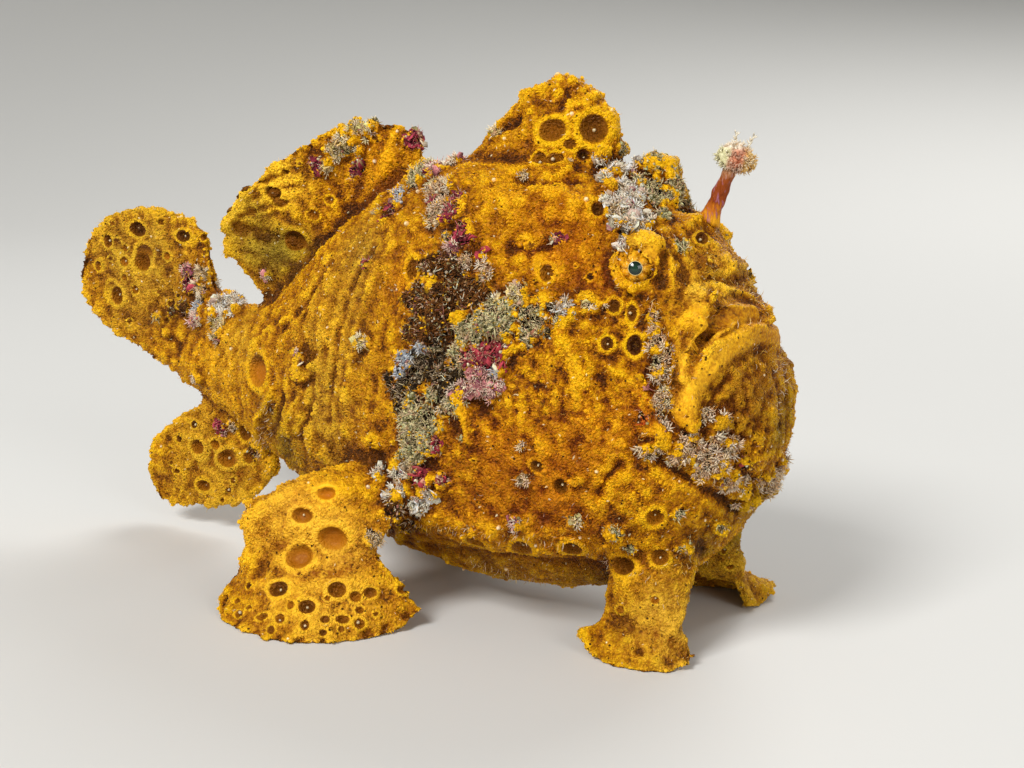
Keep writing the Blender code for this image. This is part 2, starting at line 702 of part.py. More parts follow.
def main():
    clear_scene()
    fish = new_collection("frogfish")
    workshop = new_collection("workshop", hidden=True)

    plain_head = front_of_head("plain_head", workshop)
    jaw = lower_jaw(plain_head, workshop)
    head = front_of_head("head", workshop)
    add_mouth(head, workshop)
    boolean(head, "DIFFERENCE", jaw_forms("jaw_room", GAP, workshop))
    add_face(head, workshop)
    torso = body_length("torso", TAIL_ROOT_STATION + GAP / 2, NECK_STATION - GAP / 2, TORSO_STEPS, workshop)
    add_gill_openings(torso, workshop)
    stem = body_length("tail_stem", TAIL_END_STATION, TAIL_ROOT_STATION - GAP / 2, STEM_STEPS, workshop)

    eyes = []
    for side in (RIGHT, LEFT):
        name = "eye_" + side_word(side)
        eyes.append(ball(name, eye_place(side)[0], (EYE_RADIUS,) * 3, workshop, 18, 12))

    stalk = clear_of(lure_stalk(workshop), [plain_head], workshop)
    bait = clear_of(lure_bait(workshop), [stalk], workshop)
    spine_two = clear_of(fleshy_spine("dorsal_spine_2", SPINE_TWO, workshop), [plain_head, torso], workshop)
    spine_three = fleshy_spine("dorsal_spine_3", SPINE_THREE, workshop, 28)
    clear_of(spine_three, [plain_head, torso, spine_two], workshop)
    dorsal = clear_of(dorsal_fin(workshop), [torso, stem], workshop)
    anal = clear_of(anal_fin(workshop), [torso, stem], workshop)
    caudal = clear_of(caudal_fin(workshop), [stem], workshop)

    limbs = []
    for side, foot_margin in ((RIGHT, RIGHT_FOOT_MARGIN), (LEFT, LEFT_FOOT_MARGIN)):
        arm = clear_of(pectoral_arm(side, workshop), [torso], workshop)
        hand = clear_of(pectoral_hand(side, workshop), [arm, torso], workshop)
        leg = clear_of(pelvic_fin(side, foot_margin, workshop), [plain_head, torso], workshop)
        for foot in (hand, leg):
            boolean(foot, "DIFFERENCE", [floor_block(workshop)])
        limbs += [arm, hand, leg]

    skin = [head, torso, stem, spine_two, spine_three, dorsal, anal, caudal, *limbs]
    finishes = [(skin, FLESH, 0.75), ([jaw], CHIN, 0.75), ([stalk], STALK, 0.6),
                ([bait], BAIT, 0.8), (eyes, EYE, 0.15)]
    for items, colour, roughness in finishes:
        for item in items:
            paint(item, colour, roughness)
            workshop.objects.unlink(item)
            fish.objects.link(item)


main()
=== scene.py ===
"""The looks of a giant frogfish, a yellow one that passes for a sponge, as a museum model.

One skin replaces the nodes of flesh. It carries lumps, folds and round pores, and over it lie
coats of spinules, threads and crusts like the growths that the living fish wears. Places that
come from the photograph are pixels of its 1024 x 768 frame, cast from its camera onto the skin,
and each has its counterpart on the other side of the fish.
"""

import math
from functools import partial

import bpy
import numpy as np
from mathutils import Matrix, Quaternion, Vector
from mathutils.bvhtree import BVHTree


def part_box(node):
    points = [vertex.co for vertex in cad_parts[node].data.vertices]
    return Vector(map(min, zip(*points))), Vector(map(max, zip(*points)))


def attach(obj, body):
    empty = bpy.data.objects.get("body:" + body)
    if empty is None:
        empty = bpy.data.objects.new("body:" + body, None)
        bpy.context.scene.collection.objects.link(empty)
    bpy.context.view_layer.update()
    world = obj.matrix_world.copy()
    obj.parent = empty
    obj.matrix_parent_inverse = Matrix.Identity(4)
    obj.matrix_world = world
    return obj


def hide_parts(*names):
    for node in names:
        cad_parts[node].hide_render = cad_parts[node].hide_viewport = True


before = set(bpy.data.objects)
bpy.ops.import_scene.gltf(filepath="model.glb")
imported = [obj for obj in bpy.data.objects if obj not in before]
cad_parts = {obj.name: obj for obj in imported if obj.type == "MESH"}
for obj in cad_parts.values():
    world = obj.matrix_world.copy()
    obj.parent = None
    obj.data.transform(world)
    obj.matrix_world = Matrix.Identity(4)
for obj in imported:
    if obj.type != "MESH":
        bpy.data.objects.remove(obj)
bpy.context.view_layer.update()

MM = 0.001
SEED = 5
EYES = ("eye_right", "eye_left")
FLESH = [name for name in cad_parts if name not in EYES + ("illicium", "esca")]

# The photograph's camera: its turn, height and roll in degrees, what it looks at and how far off
PHOTO_WIDTH, PHOTO_HEIGHT = 1024, 768
FOCAL_PIXELS = 1359
CAMERA_TURN, CAMERA_RISE, CAMERA_ROLL = 28.3, 11.6, 1.5
CAMERA_TARGET = Vector((48.9, -6.0, 70.0)) * MM
CAMERA_DISTANCE = 420 * MM

# The skin is shaped at a fine grain, then thinned where it is smooth
SKIN_GRAIN = 0.9 * MM
SKIN_TRIANGLES = 196_000
SEAM_REACH = 0.45 * MM
# The skin lies this far inside the solids, and less where a fin is thin, to leave room for its coats
COAT_DEPTH = 1.5 * MM
THIN_SHARE = 0.17
# How far the far side of the snout is drawn back, in mm, and how smooth a fold is to have a flat top
DRAWN_BACK = (5.6, 3.0, 0.0)
GAPE_BACK = (2.6, 0.6, 0.0)
BROAD = 0.9
# A fold that ends this near the middle of the fish runs on over it
MEETS = 5 * MM
# How far fin edges are scalloped, and how far a point stands out at a full edge and on a full lump, in mm
EDGE_RISE, EDGE_FULL, RELIEF_FULL = 1.6, 1.2, 0.42
# How many times the skin is smoothed to tell its edges, and its lumps, from their surroundings
EDGE_ROUNDS, RELIEF_ROUNDS = 24, 10
# A pore's depth as a share of its size, and its limits, and how far its rim rises, in mm
PORE_DEPTH, PORE_LIMITS, RIM_RISE = 0.5, (0.4, 1.8), 0.45
# Between these heights in mm the folds, and the lumps, fade out towards the floor
FOLD_FADE, LUMP_FADE = (1.0, 5.0), (0.6, 4.0)

# How far apart the roots of each coat are, in mm
APART = {"spinules": 1.0, "warts": 3.4, "crumbs": 1.0, "twigs": 0.95, "plates": 1.9, "polyps": 2.2,
         "threads": 1.25}
# The guide that gives each root its place on a map, its grain, and how wide a tuft's patch is there
GUIDE_GRAIN = 3.5 * MM
PATCH = 0.003
# The way the left eye looks; the right one's is its mirror image
GAZE = (0.38, 0.88, 0.16)

# Lamps by place, size and power, and the share of the room's light
LAMPS = (((-0.35, -1.75, 1.7), 0.8, 54), ((2.0, -0.9, 0.9), 1.0, 13), ((0.1, 1.8, 1.6), 1.4, 30))
ROOM_LIGHT = 0.34
# The floor's width and the radius where it is flat, in metres, how fast it rises beyond that, and its cells
FLOOR_SIZE, FLOOR_FLAT, FLOOR_RISE, FLOOR_CELLS = 9, 1.2, 0.16, 140

# The yellow of the flesh from its deepest hollows to the tops of its lumps, its level where it is flat, and
# how much the relief moves it: the relief darkens the hollows as painted shade and lightens the tops as
# painted light
FLESH_STOPS = ((0.02, "#40200A"), (0.18, "#7E4206"), (0.38, "#AE6A02"), (0.62, "#D08E04"), (0.9, "#FABE0E"))
SKIN_LEVEL, RELIEF_SHADING = 0.49, 0.38
# What a tint is multiplied by in the hollows, as painted shade, and on the tops of the lumps, as painted
# light
TINT_IN_SHADE, TINT_IN_LIGHT = (0.46, 0.27, 0.13), (1.2, 1.2, 1.2)
TINT_SHADE_FROM, TINT_SHADE_TO = 0.1, 0.75
# How growths are warmed, and how much brighter the white and bluish ones are
WARM, COOL = (1.2, 1.02, 0.78), 1.3

# Round pores: pixel, half width, half height, and how dark the floor is from 0 to 1
PORES = (
    (413, 269, 7, 11, 0.6), (547, 273, 7, 9, 0.5), (590.5, 276.5, 4, 4, 1.0), (536.6, 284, 2.6, 2.6, 0.9),
    (614, 306, 6.5, 7, 0.8), (632, 313, 5, 9, 0.7), (607, 343.6, 6.5, 7.5, 0.9), (634.5, 345, 8, 11, 1.0),
    (629.5, 294, 4, 3, 0.7), (575.7, 265.6, 2.2, 2.2, 0.8), (648.6, 320.4, 3, 2.4, 0.8),
    (542.4, 380, 2, 2, 1.0), (584.7, 361, 1.8, 1.8, 0.8), (530, 245, 5, 4, 0.8), (709, 366, 5, 5, 0.1),
    (537, 466, 7, 6, 0.8), (561, 486, 7, 8, 0.8), (522, 550, 11, 8, 0.5), (572, 549, 11, 9, 0.6),
    (476, 543, 10, 7, 0.4), (473.5, 460.4, 2, 1.6, 1.0), (472.7, 430.6, 1.6, 1.6, 1.0),
    (496.7, 489.5, 1.5, 1.5, 1.0), (552, 130, 14, 12, 0.5), (594, 128, 15, 15, 0.7), (570, 144, 7, 5, 0.6),
    (583, 155, 6.5, 6, 1.0), (539.5, 159.5, 7, 6, 0.5), (554, 159.5, 10, 5.5, 0.6), (598, 210, 6.5, 7, 0.9),
    (582.6, 188.5, 2.6, 2.6, 1.0), (579, 110, 1.8, 1.6, 1.0), (571, 113, 1.8, 1.4, 1.0),
    (285.5, 172, 4, 2.5, 0.9), (273, 193, 9, 6, 0.6), (375, 138, 4, 2.2, 0.7), (299.6, 163, 2.4, 2, 0.6),
    (293, 241, 12, 10, 0.7), (245, 247.6, 1.7, 1.7, 1.0), (250.7, 256.7, 2.2, 2.2, 1.0),
    (314, 215, 6, 5, 0.3), (330, 200, 5, 4, 0.3), (257.8, 371, 11, 17, 0.1), (257.8, 371, 2.2, 3.4, 1.0),
    (137, 228.2, 8.5, 6.5, 0.9), (183, 236, 8, 6, 0.9), (107.9, 240.9, 4.6, 6.6, 0.7),
    (98.2, 265.7, 3.5, 5, 0.5), (143, 261.5, 9, 9, 0.6), (117, 295.4, 6.5, 9, 0.6),
    (124.8, 261.5, 4.5, 4.5, 0.3), (110.3, 258.5, 2.4, 2.4, 0.7), (161.8, 222, 3.5, 3, 0.6),
    (167, 256, 4, 4, 0.2), (203.6, 237.3, 4, 3.4, 0.5), (204.2, 252.4, 2.5, 2.8, 0.7),
    (170.3, 303.3, 3, 3, 0.8), (125.4, 248, 3.5, 3, 0.5), (135.7, 289.4, 4, 4, 0.3),
    (129.7, 321.5, 3, 2.6, 0.7), (167.2, 320.3, 3, 3, 0.9), (112, 223, 2.6, 2.4, 0.5),
    (158.8, 291.8, 2, 2, 0.6), (124.8, 277.2, 3, 3, 0.4), (194.5, 424.4, 3.5, 4, 1.0),
    (179.7, 438.7, 3, 3.5, 0.9), (197.6, 447, 7, 7.5, 0.4), (226.6, 459.2, 10.5, 8.5, 0.4),
    (176.6, 470.8, 4.5, 2.5, 0.7), (203.4, 485.5, 8, 5.5, 0.5), (228.4, 490.4, 4, 2.2, 0.8),
    (248.5, 457.9, 6, 6, 0.4), (232.9, 480.6, 2.8, 3.4, 0.5), (215.4, 444.5, 5, 5, 0.2),
    (223, 499.8, 2.4, 2.4, 0.6), (207.9, 495.8, 2, 2, 0.5), (170.4, 448, 2, 2, 0.4),
    (171.3, 462.8, 2, 2, 0.7), (245.4, 432.9, 6.5, 8, 0.7), (302, 515.5, 11.5, 8, 0.4),
    (332.2, 538.7, 16, 12, 0.25), (299.2, 556.9, 15, 10, 0.3), (327.3, 494.5, 10, 5.5, 0.0),
    (278.8, 589.2, 10, 7, 0.8), (337, 589.9, 9.5, 7.5, 0.6), (370, 592.7, 7, 5, 0.6),
    (306.9, 606.7, 9, 6.5, 0.8), (355.3, 596.9, 6, 5, 0.4), (280.2, 618.6, 5, 4.4, 0.5),
    (262, 616.5, 7, 3, 0.5), (249.4, 585.7, 3.4, 3, 0.9), (299.2, 573, 2.6, 2, 0.9),
    (323, 573.7, 3, 2, 0.9), (271, 629.9, 4, 4, 0.7), (304.8, 625, 4.5, 5, 0.7), (325, 619.3, 5, 3.5, 0.7),
    (342.7, 619.3, 7, 4, 0.6), (359.5, 623.6, 5.5, 5, 0.5), (323, 632.7, 4.5, 3, 0.8),
    (341.3, 629.2, 3.5, 3, 0.5), (359.5, 610.2, 4.5, 3.5, 0.5), (375.7, 613.7, 3, 2.4, 0.7),
    (401.6, 589.9, 5.5, 4, 0.4), (238.9, 613.7, 4.5, 3, 0.6), (237.5, 601, 3, 2.4, 0.6),
    (248.7, 607.4, 3, 2.2, 0.5), (290.8, 605.3, 3.5, 4, 0.3), (327.3, 598.3, 3.4, 2.6, 0.4),
    (259.9, 553.4, 2.6, 2.4, 0.9), (425.5, 529.5, 2, 2, 1.0), (655.4, 517.7, 9, 9, 0.3),
    (623, 566, 11, 9, 0.7), (660, 557.5, 9, 8, 0.5), (724, 551, 3, 4, 0.5), (730, 566.6, 4, 3, 0.4),
    (655, 600, 5, 4, 0.4), (620, 610, 4, 4, 0.4), (710.8, 277, 4, 2.4, 0.9), (700, 240, 6, 5, 0.8),
    (696, 311, 1.6, 1.6, 0.9),
)

# Folds: height in mm, below 0 for a groove, half width in pixels, smoothness from 0 to 1, and the path
FOLDS = (
    # the turret round the eye and the brow over it
    (2.0, 8, 0.3, ((633, 240), (645, 238), (657, 242), (667, 252), (672, 268), (673, 286))),
    (-0.8, 5, 0, ((680, 250), (684, 268), (683, 290))), (-0.4, 5, 0, ((606, 262), (608, 284))),
    (0.7, 6, 0.6, ((616, 262), (622, 280), (636, 290), (652, 288))),
    # snout: a lump with a groove under it and an overhanging fringe
    (2.4, 12, 0, ((722, 262), (730, 268))), (1.6, 8, 0, ((700, 236), (712, 246))),
    (-1.6, 3.5, 0.4, ((704, 279), (714, 277), (724, 283), (738, 279))),
    (0.9, 3.2, 0.3, ((712, 298), (729, 290), (742, 292), (756, 300), (766, 309))),
    (1.3, 5, 0.4, ((716, 286), (725, 287))), (0.6, 10, 1.0, ((718, 320), (734, 314), (752, 312))),
    (-1.5, 3.2, 1.0, ((696, 349), (709, 341), (728, 335), (740, 327), (752, 320), (762, 321), (770, 326))),
    # upper jaw: the knob at its end and the two flaps that hang from it
    (1.5, 9, 0.89, ((694, 320), (702, 314))), (0.9, 15, 0.6, ((684, 322), (692, 316))),
    (-1.0, 3, 0.6, ((700, 331), (707, 326), (713, 317))),
    (2.2, 6.5, 1.0, ((697, 322), (692, 335), (687, 350), (684, 364), (683, 378))),
    (-1.2, 3.5, 0.4, ((682, 332), (677, 346), (674, 366))),
    (-1.3, 3, 0.6, ((707, 335), (700, 347), (695, 358), (690, 371))),
    (-1.1, 5, 0, ((670, 342), (668, 362), (667, 385))),
    # lower lip: a broad smooth band with a narrow groove under it
    (1.4, 12.5, 1.0, ((772, 337), (766, 333), (758, 332), (744, 337), (728, 348), (714, 361), (703, 375),
        (695, 389), (689, 402), (684, 412))),
    (-0.4, 3, 0.2, ((774, 344), (757, 351), (744, 361), (731, 374))),
    (-1.2, 2.8, 0.2, ((731, 374), (720, 388), (711, 404), (702, 420))),
    # chin: low knobs, and the long fold from the corner of the mouth down to the throat
    (1.3, 6, 0, ((734, 372),)), (1.2, 5, 0, ((728, 396),)), (1.1, 5, 0, ((755, 410),)),
    (1.2, 6, 0, ((748, 388),)), (1.2, 5, 0, ((762, 366),)), (1.2, 6, 0, ((770, 410),)),
    (1.0, 4.5, 0, ((722, 420),)), (1.0, 4, 0, ((740, 428),)),
    (-0.6, 5, 0, ((776, 372), (781, 390), (780, 420), (774, 450))),
    (1.5, 8, 0, ((660, 430), (676, 452), (700, 462), (724, 470), (742, 486), (752, 500))),
    (-1.6, 6, 0, ((648, 440), (662, 462), (690, 482), (716, 496), (740, 512))),
    (-1.8, 6, 0, ((620, 465), (606, 478), (597, 495))), (1.6, 9, 0, ((652, 405), (645, 425), (650, 445))),
    # cheek and shoulder: the swelling behind the growths and the hollow where they sit
    (2.2, 16, 0, ((505, 205), (540, 195), (575, 205))), (-2.2, 9, 0, ((512, 246), (528, 250), (545, 243))),
    (-2.6, 12, 0, ((452, 330), (442, 345), (430, 360), (412, 372))),
    (-2.0, 12, 0, ((468, 250), (462, 275), (455, 300))),
    (2.2, 12, 0, ((470, 322), (495, 312), (520, 303), (545, 300))),
    (1.6, 9, 0, ((430, 280), (444, 296), (438, 318))), (-1.8, 8, 0, ((476, 398), (482, 412), (492, 424))),
    (1.8, 6, 0.3, ((462, 400), (464, 420), (468, 442))), (1.6, 9, 0, ((395, 465), (420, 450), (440, 430))),
    (1.3, 10, 0, ((560, 330), (575, 360), (580, 400))), (-1.3, 8, 0, ((600, 380), (606, 410), (602, 440))),
    (1.2, 9, 0, ((520, 420), (540, 440), (548, 452))), (1.4, 9, 0, ((620, 372), (634, 380), (640, 392))),
    # belly: one long fold over the underside
    (0.9, 14, 0, ((408, 518), (440, 524), (480, 528), (530, 532), (575, 538), (618, 545))),
    (-1.0, 10, 0, ((412, 544), (450, 550), (500, 554), (550, 562), (600, 568))),
    (1.6, 8, 0, ((430, 566), (480, 578), (540, 588))),
    # third spine: knobs on its flat top
    (3.4, 9, 0.2, ((528, 96),)), (2.2, 7, 0, ((540, 84),)), (1.6, 5, 0.2, ((559, 78),)),
    (1.8, 5, 0.2, ((574, 80),)), (-2.4, 9, 0, ((504, 122), (514, 118))), (1.5, 6, 0.2, ((611, 112),)),
    (1.3, 5, 0, ((532, 112),)), (-1.4, 6, 0, ((566, 90), (562, 104))), (1.2, 5, 0, ((590, 98),)),
    (1.0, 5, 0, ((604, 150),)), (1.2, 6, 0, ((570, 170), (560, 176))),
    (-1.4, 7, 0, ((520, 176), (545, 184), (575, 182))),
    # second spine: lower towards the snout
    (-2.6, 9, 0, ((676, 163), (684, 172), (690, 188))), (1.4, 5, 0, ((637, 157),)),
    (1.6, 4, 0, ((671, 170),)),
    # front of the brow, with the foot of the lure
    (2.2, 7, 0.4, ((705, 222), (708, 214))), (1.6, 9, 0, ((690, 226),)),
    (1.8, 8, 0, ((667, 170), (676, 190))), (1.6, 8, 0, ((743, 262),)), (1.2, 6, 0, ((751, 282),)),
    (1.4, 8, 0, ((684, 286), (700, 296))),
    # rear flank: steep wrinkles
    (-0.8, 5, 0, ((372, 246), (356, 275), (342, 312), (335, 360), (330, 420), (326, 470))),
    (0.7, 6, 0, ((392, 246), (372, 280), (356, 320), (350, 370), (346, 430), (342, 470))),
    (-0.6, 5, 0, ((404, 290), (384, 326), (374, 372), (370, 420))),
    (0.7, 6, 0, ((342, 262), (326, 300), (320, 345), (318, 400), (312, 450))),
    (-0.8, 4.5, 0, ((312, 290), (300, 326), (316, 395), (300, 440), (296, 474))),
    (1.0, 5, 0, ((300, 392), (286, 430), (280, 470))), (-1.0, 4, 0, ((330, 262), (310, 296), (282, 330))),
    (1.0, 5, 0, ((290, 318), (268, 330), (252, 350))), (1.4, 5, 0, ((270, 398), (258, 420), (262, 446))),
    (-1.3, 5, 0, ((284, 396), (276, 424), (270, 452))), (1.6, 8, 0, ((300, 362), (304, 374))),
    (-1.0, 3, 0, ((312, 356), (316, 374), (304, 388))),
    # dorsal fin: the fold of its rear lobe
    (-1.6, 8, 0, ((240, 228), (262, 236), (290, 240), (312, 250))),
    (1.3, 6, 0, ((232, 250), (256, 262), (284, 270))), (1.0, 6, 0, ((248, 190), (262, 214))),
    (-0.9, 4, 0, ((262, 180), (276, 214))), (1.0, 6, 0, ((300, 170), (296, 212))),
    (-0.9, 4, 0, ((318, 160), (316, 206))), (1.0, 6, 0, ((346, 158), (336, 204))),
    (-0.9, 4, 0, ((366, 150), (356, 206))), (1.2, 7, 0, ((392, 132), (384, 170), (378, 204))),
    (1.8, 9, 0, ((246, 196), (232, 214), (229, 228))), (-0.8, 2.5, 0, ((238, 206), (262, 194), (300, 184))),
    (-0.8, 2.5, 0, ((240, 216), (265, 207), (296, 200))),
    (-0.7, 2.5, 0, ((258, 182), (288, 172), (318, 168))),
    # arm: the elbow's crown, its rear edge and the step between arm and hand
    (2.4, 12, 0, ((251, 522), (254, 540), (250, 558))), (0, 34, 0.5, ((285, 510), (300, 540), (330, 520))),
    (0, 26, 0.5, ((345, 560), (300, 565))), (0, 30, 0.35, ((260, 610), (320, 605), (380, 600))),
    (0, 22, 0.4, ((660, 600), (655, 640))), (1.5, 9, 0, ((262, 512), (290, 494), (330, 488), (366, 496))),
    (-0.9, 8, 0, ((262, 566), (290, 574), (330, 572), (372, 562), (400, 556))),
    (0.8, 8, 0, ((256, 584), (300, 588), (350, 584), (400, 576))),
    # hand and foot: the lobes along the margin and the notches between them
    (1.6, 4, 0, ((228, 590),)), (1.8, 4, 0, ((229, 610),)), (1.6, 4, 0, ((244, 627),)),
    (1.8, 4, 0, ((266, 637),)), (1.6, 4, 0, ((288, 641),)), (1.6, 4, 0, ((311, 643),)),
    (1.8, 4, 0, ((334, 641),)), (-2.0, 4, 0, ((224, 600),)), (-1.8, 4, 0, ((236, 622),)),
    (-2.0, 4, 0, ((256, 634),)), (-1.8, 4, 0, ((278, 640),)), (-2.0, 4, 0, ((300, 642),)),
    (-2.0, 4, 0, ((323, 642),)), (-2.4, 5, 0, ((348, 641),)), (-2.6, 7, 0, ((368, 636),)),
    (-2.6, 7, 0, ((388, 629),)), (-1.6, 4, 0, ((408, 616),)), (1.6, 4, 0, ((628, 640),)),
    (-1.8, 4, 0, ((640, 652),)), (1.6, 4, 0, ((656, 660),)), (-1.6, 4, 0, ((670, 664),)),
    (1.6, 4, 0, ((684, 662),)), (-1.6, 4, 0, ((698, 656),)),
    (1.3, 7, 0, ((396, 500), (404, 520), (400, 540))),
)

# Where the skin is knobbly: rise and spacing in mm, and pixel and half width of each place
KNOBBLY = (
    (1.0, 2.4, ((740, 392, 36), (752, 440, 34), (724, 430, 24))),
    (0.8, 2.3, (
        (700, 262, 34), (738, 268, 20), (692, 298, 20), (640, 250, 36), (622, 320, 40), (575, 108, 34),
        (590, 400, 50), (520, 400, 40), (330, 120, 50), (420, 570, 40))),
    (0.5, 4.4, (
        (530, 200, 44), (490, 215, 30), (570, 215, 40), (575, 110, 34), (560, 165, 40), (700, 256, 30),
        (610, 330, 40), (560, 400, 60), (470, 480, 50), (300, 530, 50), (640, 620, 40), (540, 520, 50))),
)

# Growths by what they are: two colours, how far they stand off in mm, and pixel and half width of each
GROWTHS = (
    ("#2A1808", "#8E5E30", 1.2, (
        (425, 300, 23), (450, 290, 25), (468, 284, 18), (440, 322, 23), (418, 332, 18), (432, 274, 20),
        (448, 262, 16), (455, 275, 20), (440, 310, 26), (470, 300, 18), (410, 300, 12), (175, 308, 10),
        (744, 463, 10.1), (480, 300, 14), (300, 355, 5), (262, 446, 8), (390, 510, 12), (412, 522, 12))),
    ("#84502C", "#F6CCA6", 1.8, (
        (658, 345, 10.5), (661, 375, 10.5), (662, 400, 10.5), (660, 430, 10.5), (686, 446, 15.5),
        (712, 460, 15.5), (440, 190, 18), (448, 165, 14), (466, 261.5, 14), (484, 270, 12),
        (437, 214.5, 14), (656, 329.5, 7.5), (662.7, 354, 7.5), (646, 451, 9), (663, 441.4, 12),
        (679.4, 453, 13), (704, 454.7, 13.5), (732.5, 446, 9), (709, 415, 8), (722.5, 423, 9),
        (727.5, 479.6, 13), (742, 489.5, 10.1), (768, 478, 10.1), (762, 490, 9), (653, 317, 5.2),
        (666, 372, 6), (690, 440, 11.2), (716, 440, 9), (757, 480, 10.1), (700, 470, 9), (199.8, 377.7, 6),
        (604, 306, 6), (745, 500, 9), (735, 505, 6), (523, 443, 6), (690, 425, 7), (661, 416, 5.2))),
    ("#645E1E", "#F2ECC2", 2.2, (
        (500, 318, 26), (530, 322, 19), (474, 330, 19), (420, 420, 22), (414, 452, 18), (560, 318, 9),
        (668, 170, 13), (678, 186, 11), (654, 168, 12), (664, 198, 11), (645, 160, 8), (682, 200, 8),
        (454, 348, 10), (450, 404, 12), (489, 319, 20), (509, 323, 16), (534, 313, 13), (466, 303, 10),
        (453, 329.5, 7), (443, 334, 6), (526, 339, 10), (431, 351, 10), (459.5, 364, 10), (414.6, 405, 14),
        (433, 393, 12), (411, 435, 13), (426, 443, 12), (652, 189, 16), (655.6, 197.6, 12),
        (639, 182.7, 12), (662, 214, 9), (425.6, 164.7, 12), (419, 179.6, 12), (444, 166, 8), (447, 236, 9),
        (377.5, 211, 5), (219.4, 305, 9), (158.8, 316, 5), (656, 362.7, 6.8), (662.7, 389, 6.8),
        (664.5, 401.6, 6.8), (614.7, 531, 9), (629.7, 549, 6), (580, 478, 6), (684, 546, 9), (719, 526, 8),
        (677.7, 512.7, 7), (395.3, 507, 7), (576, 479.5, 6), (682.6, 246.6, 10), (346, 150, 8),
        (436, 182, 9), (462, 438, 5))),
    ("#94803C", "#F4E0A4", 2.0, (
        (519, 296, 12), (363, 343, 8), (217, 323, 8), (217, 339, 7), (506, 126, 4), (495, 133, 5),
        (575, 521, 7), (346, 143, 11), (366, 120, 8), (336, 151.5, 10), (329.5, 164.7, 9), (357.6, 128, 8),
        (589, 303, 9), (500, 300, 8), (655, 350, 4.5), (628, 156, 5))),
    ("#A07448", "#FFEED2", 2.0, (
        (630, 190, 18), (615, 172, 13), (626, 220, 14), (600, 158, 9), (404, 470, 14), (420, 500, 12),
        (567, 309.6, 13), (597, 304.6, 8), (416, 420, 9), (377, 440, 9), (428, 478, 9), (406, 486, 12),
        (423, 489.5, 10), (394.7, 496, 8), (380, 474.5, 8), (434.5, 493, 6), (394.7, 507.7, 5),
        (621, 204, 14), (640.7, 219, 12), (607.5, 186, 12), (627, 166, 9), (219.6, 308, 12), (231, 303, 9),
        (639.5, 235, 9), (626, 243, 8), (389, 496, 6), (253.4, 495.4, 4), (633, 288, 4), (634, 207, 10))),
    # a dark sunken patch, near black, that is painted shade in a hollow among the growths
    ("#1C1208", "#54401F", -1.0, (
        (415, 368, 24), (440, 385, 22), (400, 400, 18), (455, 372, 16), (536, 296, 8), (552, 306, 6),
        (548, 333, 6), (431, 366, 20), (449.5, 372.6, 16), (431, 343, 10), (385, 379, 9), (398, 396.6, 15),
        (624, 229, 7), (452, 346, 8), (443, 350, 8), (402, 384, 10), (655.6, 206, 6))),
    ("#74182E", "#BE4C62", 2.0, (
        (490, 356, 18), (470, 362, 12), (425, 475, 12), (497.6, 349, 16), (472.8, 357.6, 13),
        (509, 346, 11), (536, 335, 5), (481, 256.5, 8), (438, 444.7, 9), (419.6, 471, 9), (443, 478, 9),
        (394.7, 443, 4), (420, 473, 8), (741, 459.7, 6.7), (466, 226, 6), (472, 236, 6))),
    ("#944562", "#E09EAE", 2.0, (
        (480, 384, 18), (466, 392, 10), (484, 379, 16), (501, 386, 9), (453, 392, 8), (487.6, 388, 12),
        (453, 250, 8), (448, 153, 13), (457, 150, 9), (444, 143, 12), (435.6, 153, 10), (636, 156, 6),
        (671, 171, 5), (298, 353, 6), (267.7, 277, 5), (224, 435.5, 4), (196.4, 318.5, 9), (189, 268.8, 6),
        (517.5, 522.6, 9), (644, 335, 4.5), (640, 378, 3.8))),
    ("#6A1A30", "#B44C68", 1.8, (
        (459.5, 236.6, 12), (558, 240, 7), (367, 264, 6), (450, 217.5, 12), (454, 216, 10),
        (319.5, 164.7, 8), (354, 168, 9), (415.7, 138, 12), (428, 150, 10), (407.4, 141.5, 6),
        (394, 208, 7), (384, 221, 6), (437, 196, 11), (300, 371, 9), (190, 285, 8), (168.5, 331.8, 5),
        (220.4, 427.5, 6), (646, 386, 4.5), (440, 156, 6), (460, 200, 8), (300, 362, 7))),
    ("#8894A8", "#F2F6FA", 1.8, (
        (492.7, 374, 9), (406.4, 362.6, 14), (416, 350, 12), (398, 372, 9), (198, 308, 8), (400.7, 191, 8),
        (399, 203, 7), (400, 372, 7))),
    ("#745A34", "#E6C894", 1.6, (
        (446, 408, 8), (411, 463, 12), (202.4, 274.8, 8), (201, 289, 9), (616, 212.6, 9), (524, 479.5, 8),
        (471, 527.6, 6), (374, 538, 9), (233.8, 425.7, 5), (556, 239, 5), (523, 174.4, 5), (634, 159.5, 7),
        (570, 163, 6), (316, 366, 6))),
    ("#C4421A", "#E4812C", 1.0, (
        (646, 396, 5.2), (643, 401.6, 5.2), (644.6, 418, 6.8), (642, 408, 5.2), (474, 366, 6))),
)

# Growths by their number above: white or bluish, with plates, with polyps, in their own tone; how twiggy
PALE_KINDS, PLATED_KINDS, POLYP_KINDS, PLAIN_KINDS = (4, 9), (3, 4, 6, 7, 8), (1, 3, 4, 7, 10), (0, 4, 9)
TWIGGY = (0.9, 1.1, 0.9, 0.9, 1.0, 0.55, 0.5, 0.8, 0.5, 0.9, 1.0, 0.3)
# Colours of the strays that lie among every growth
STRAY_COLOURS = ("#F2E6D0", "#EEC4AC", "#C89C6C", "#A9A060", "#FBF4E6", "#A04C44")
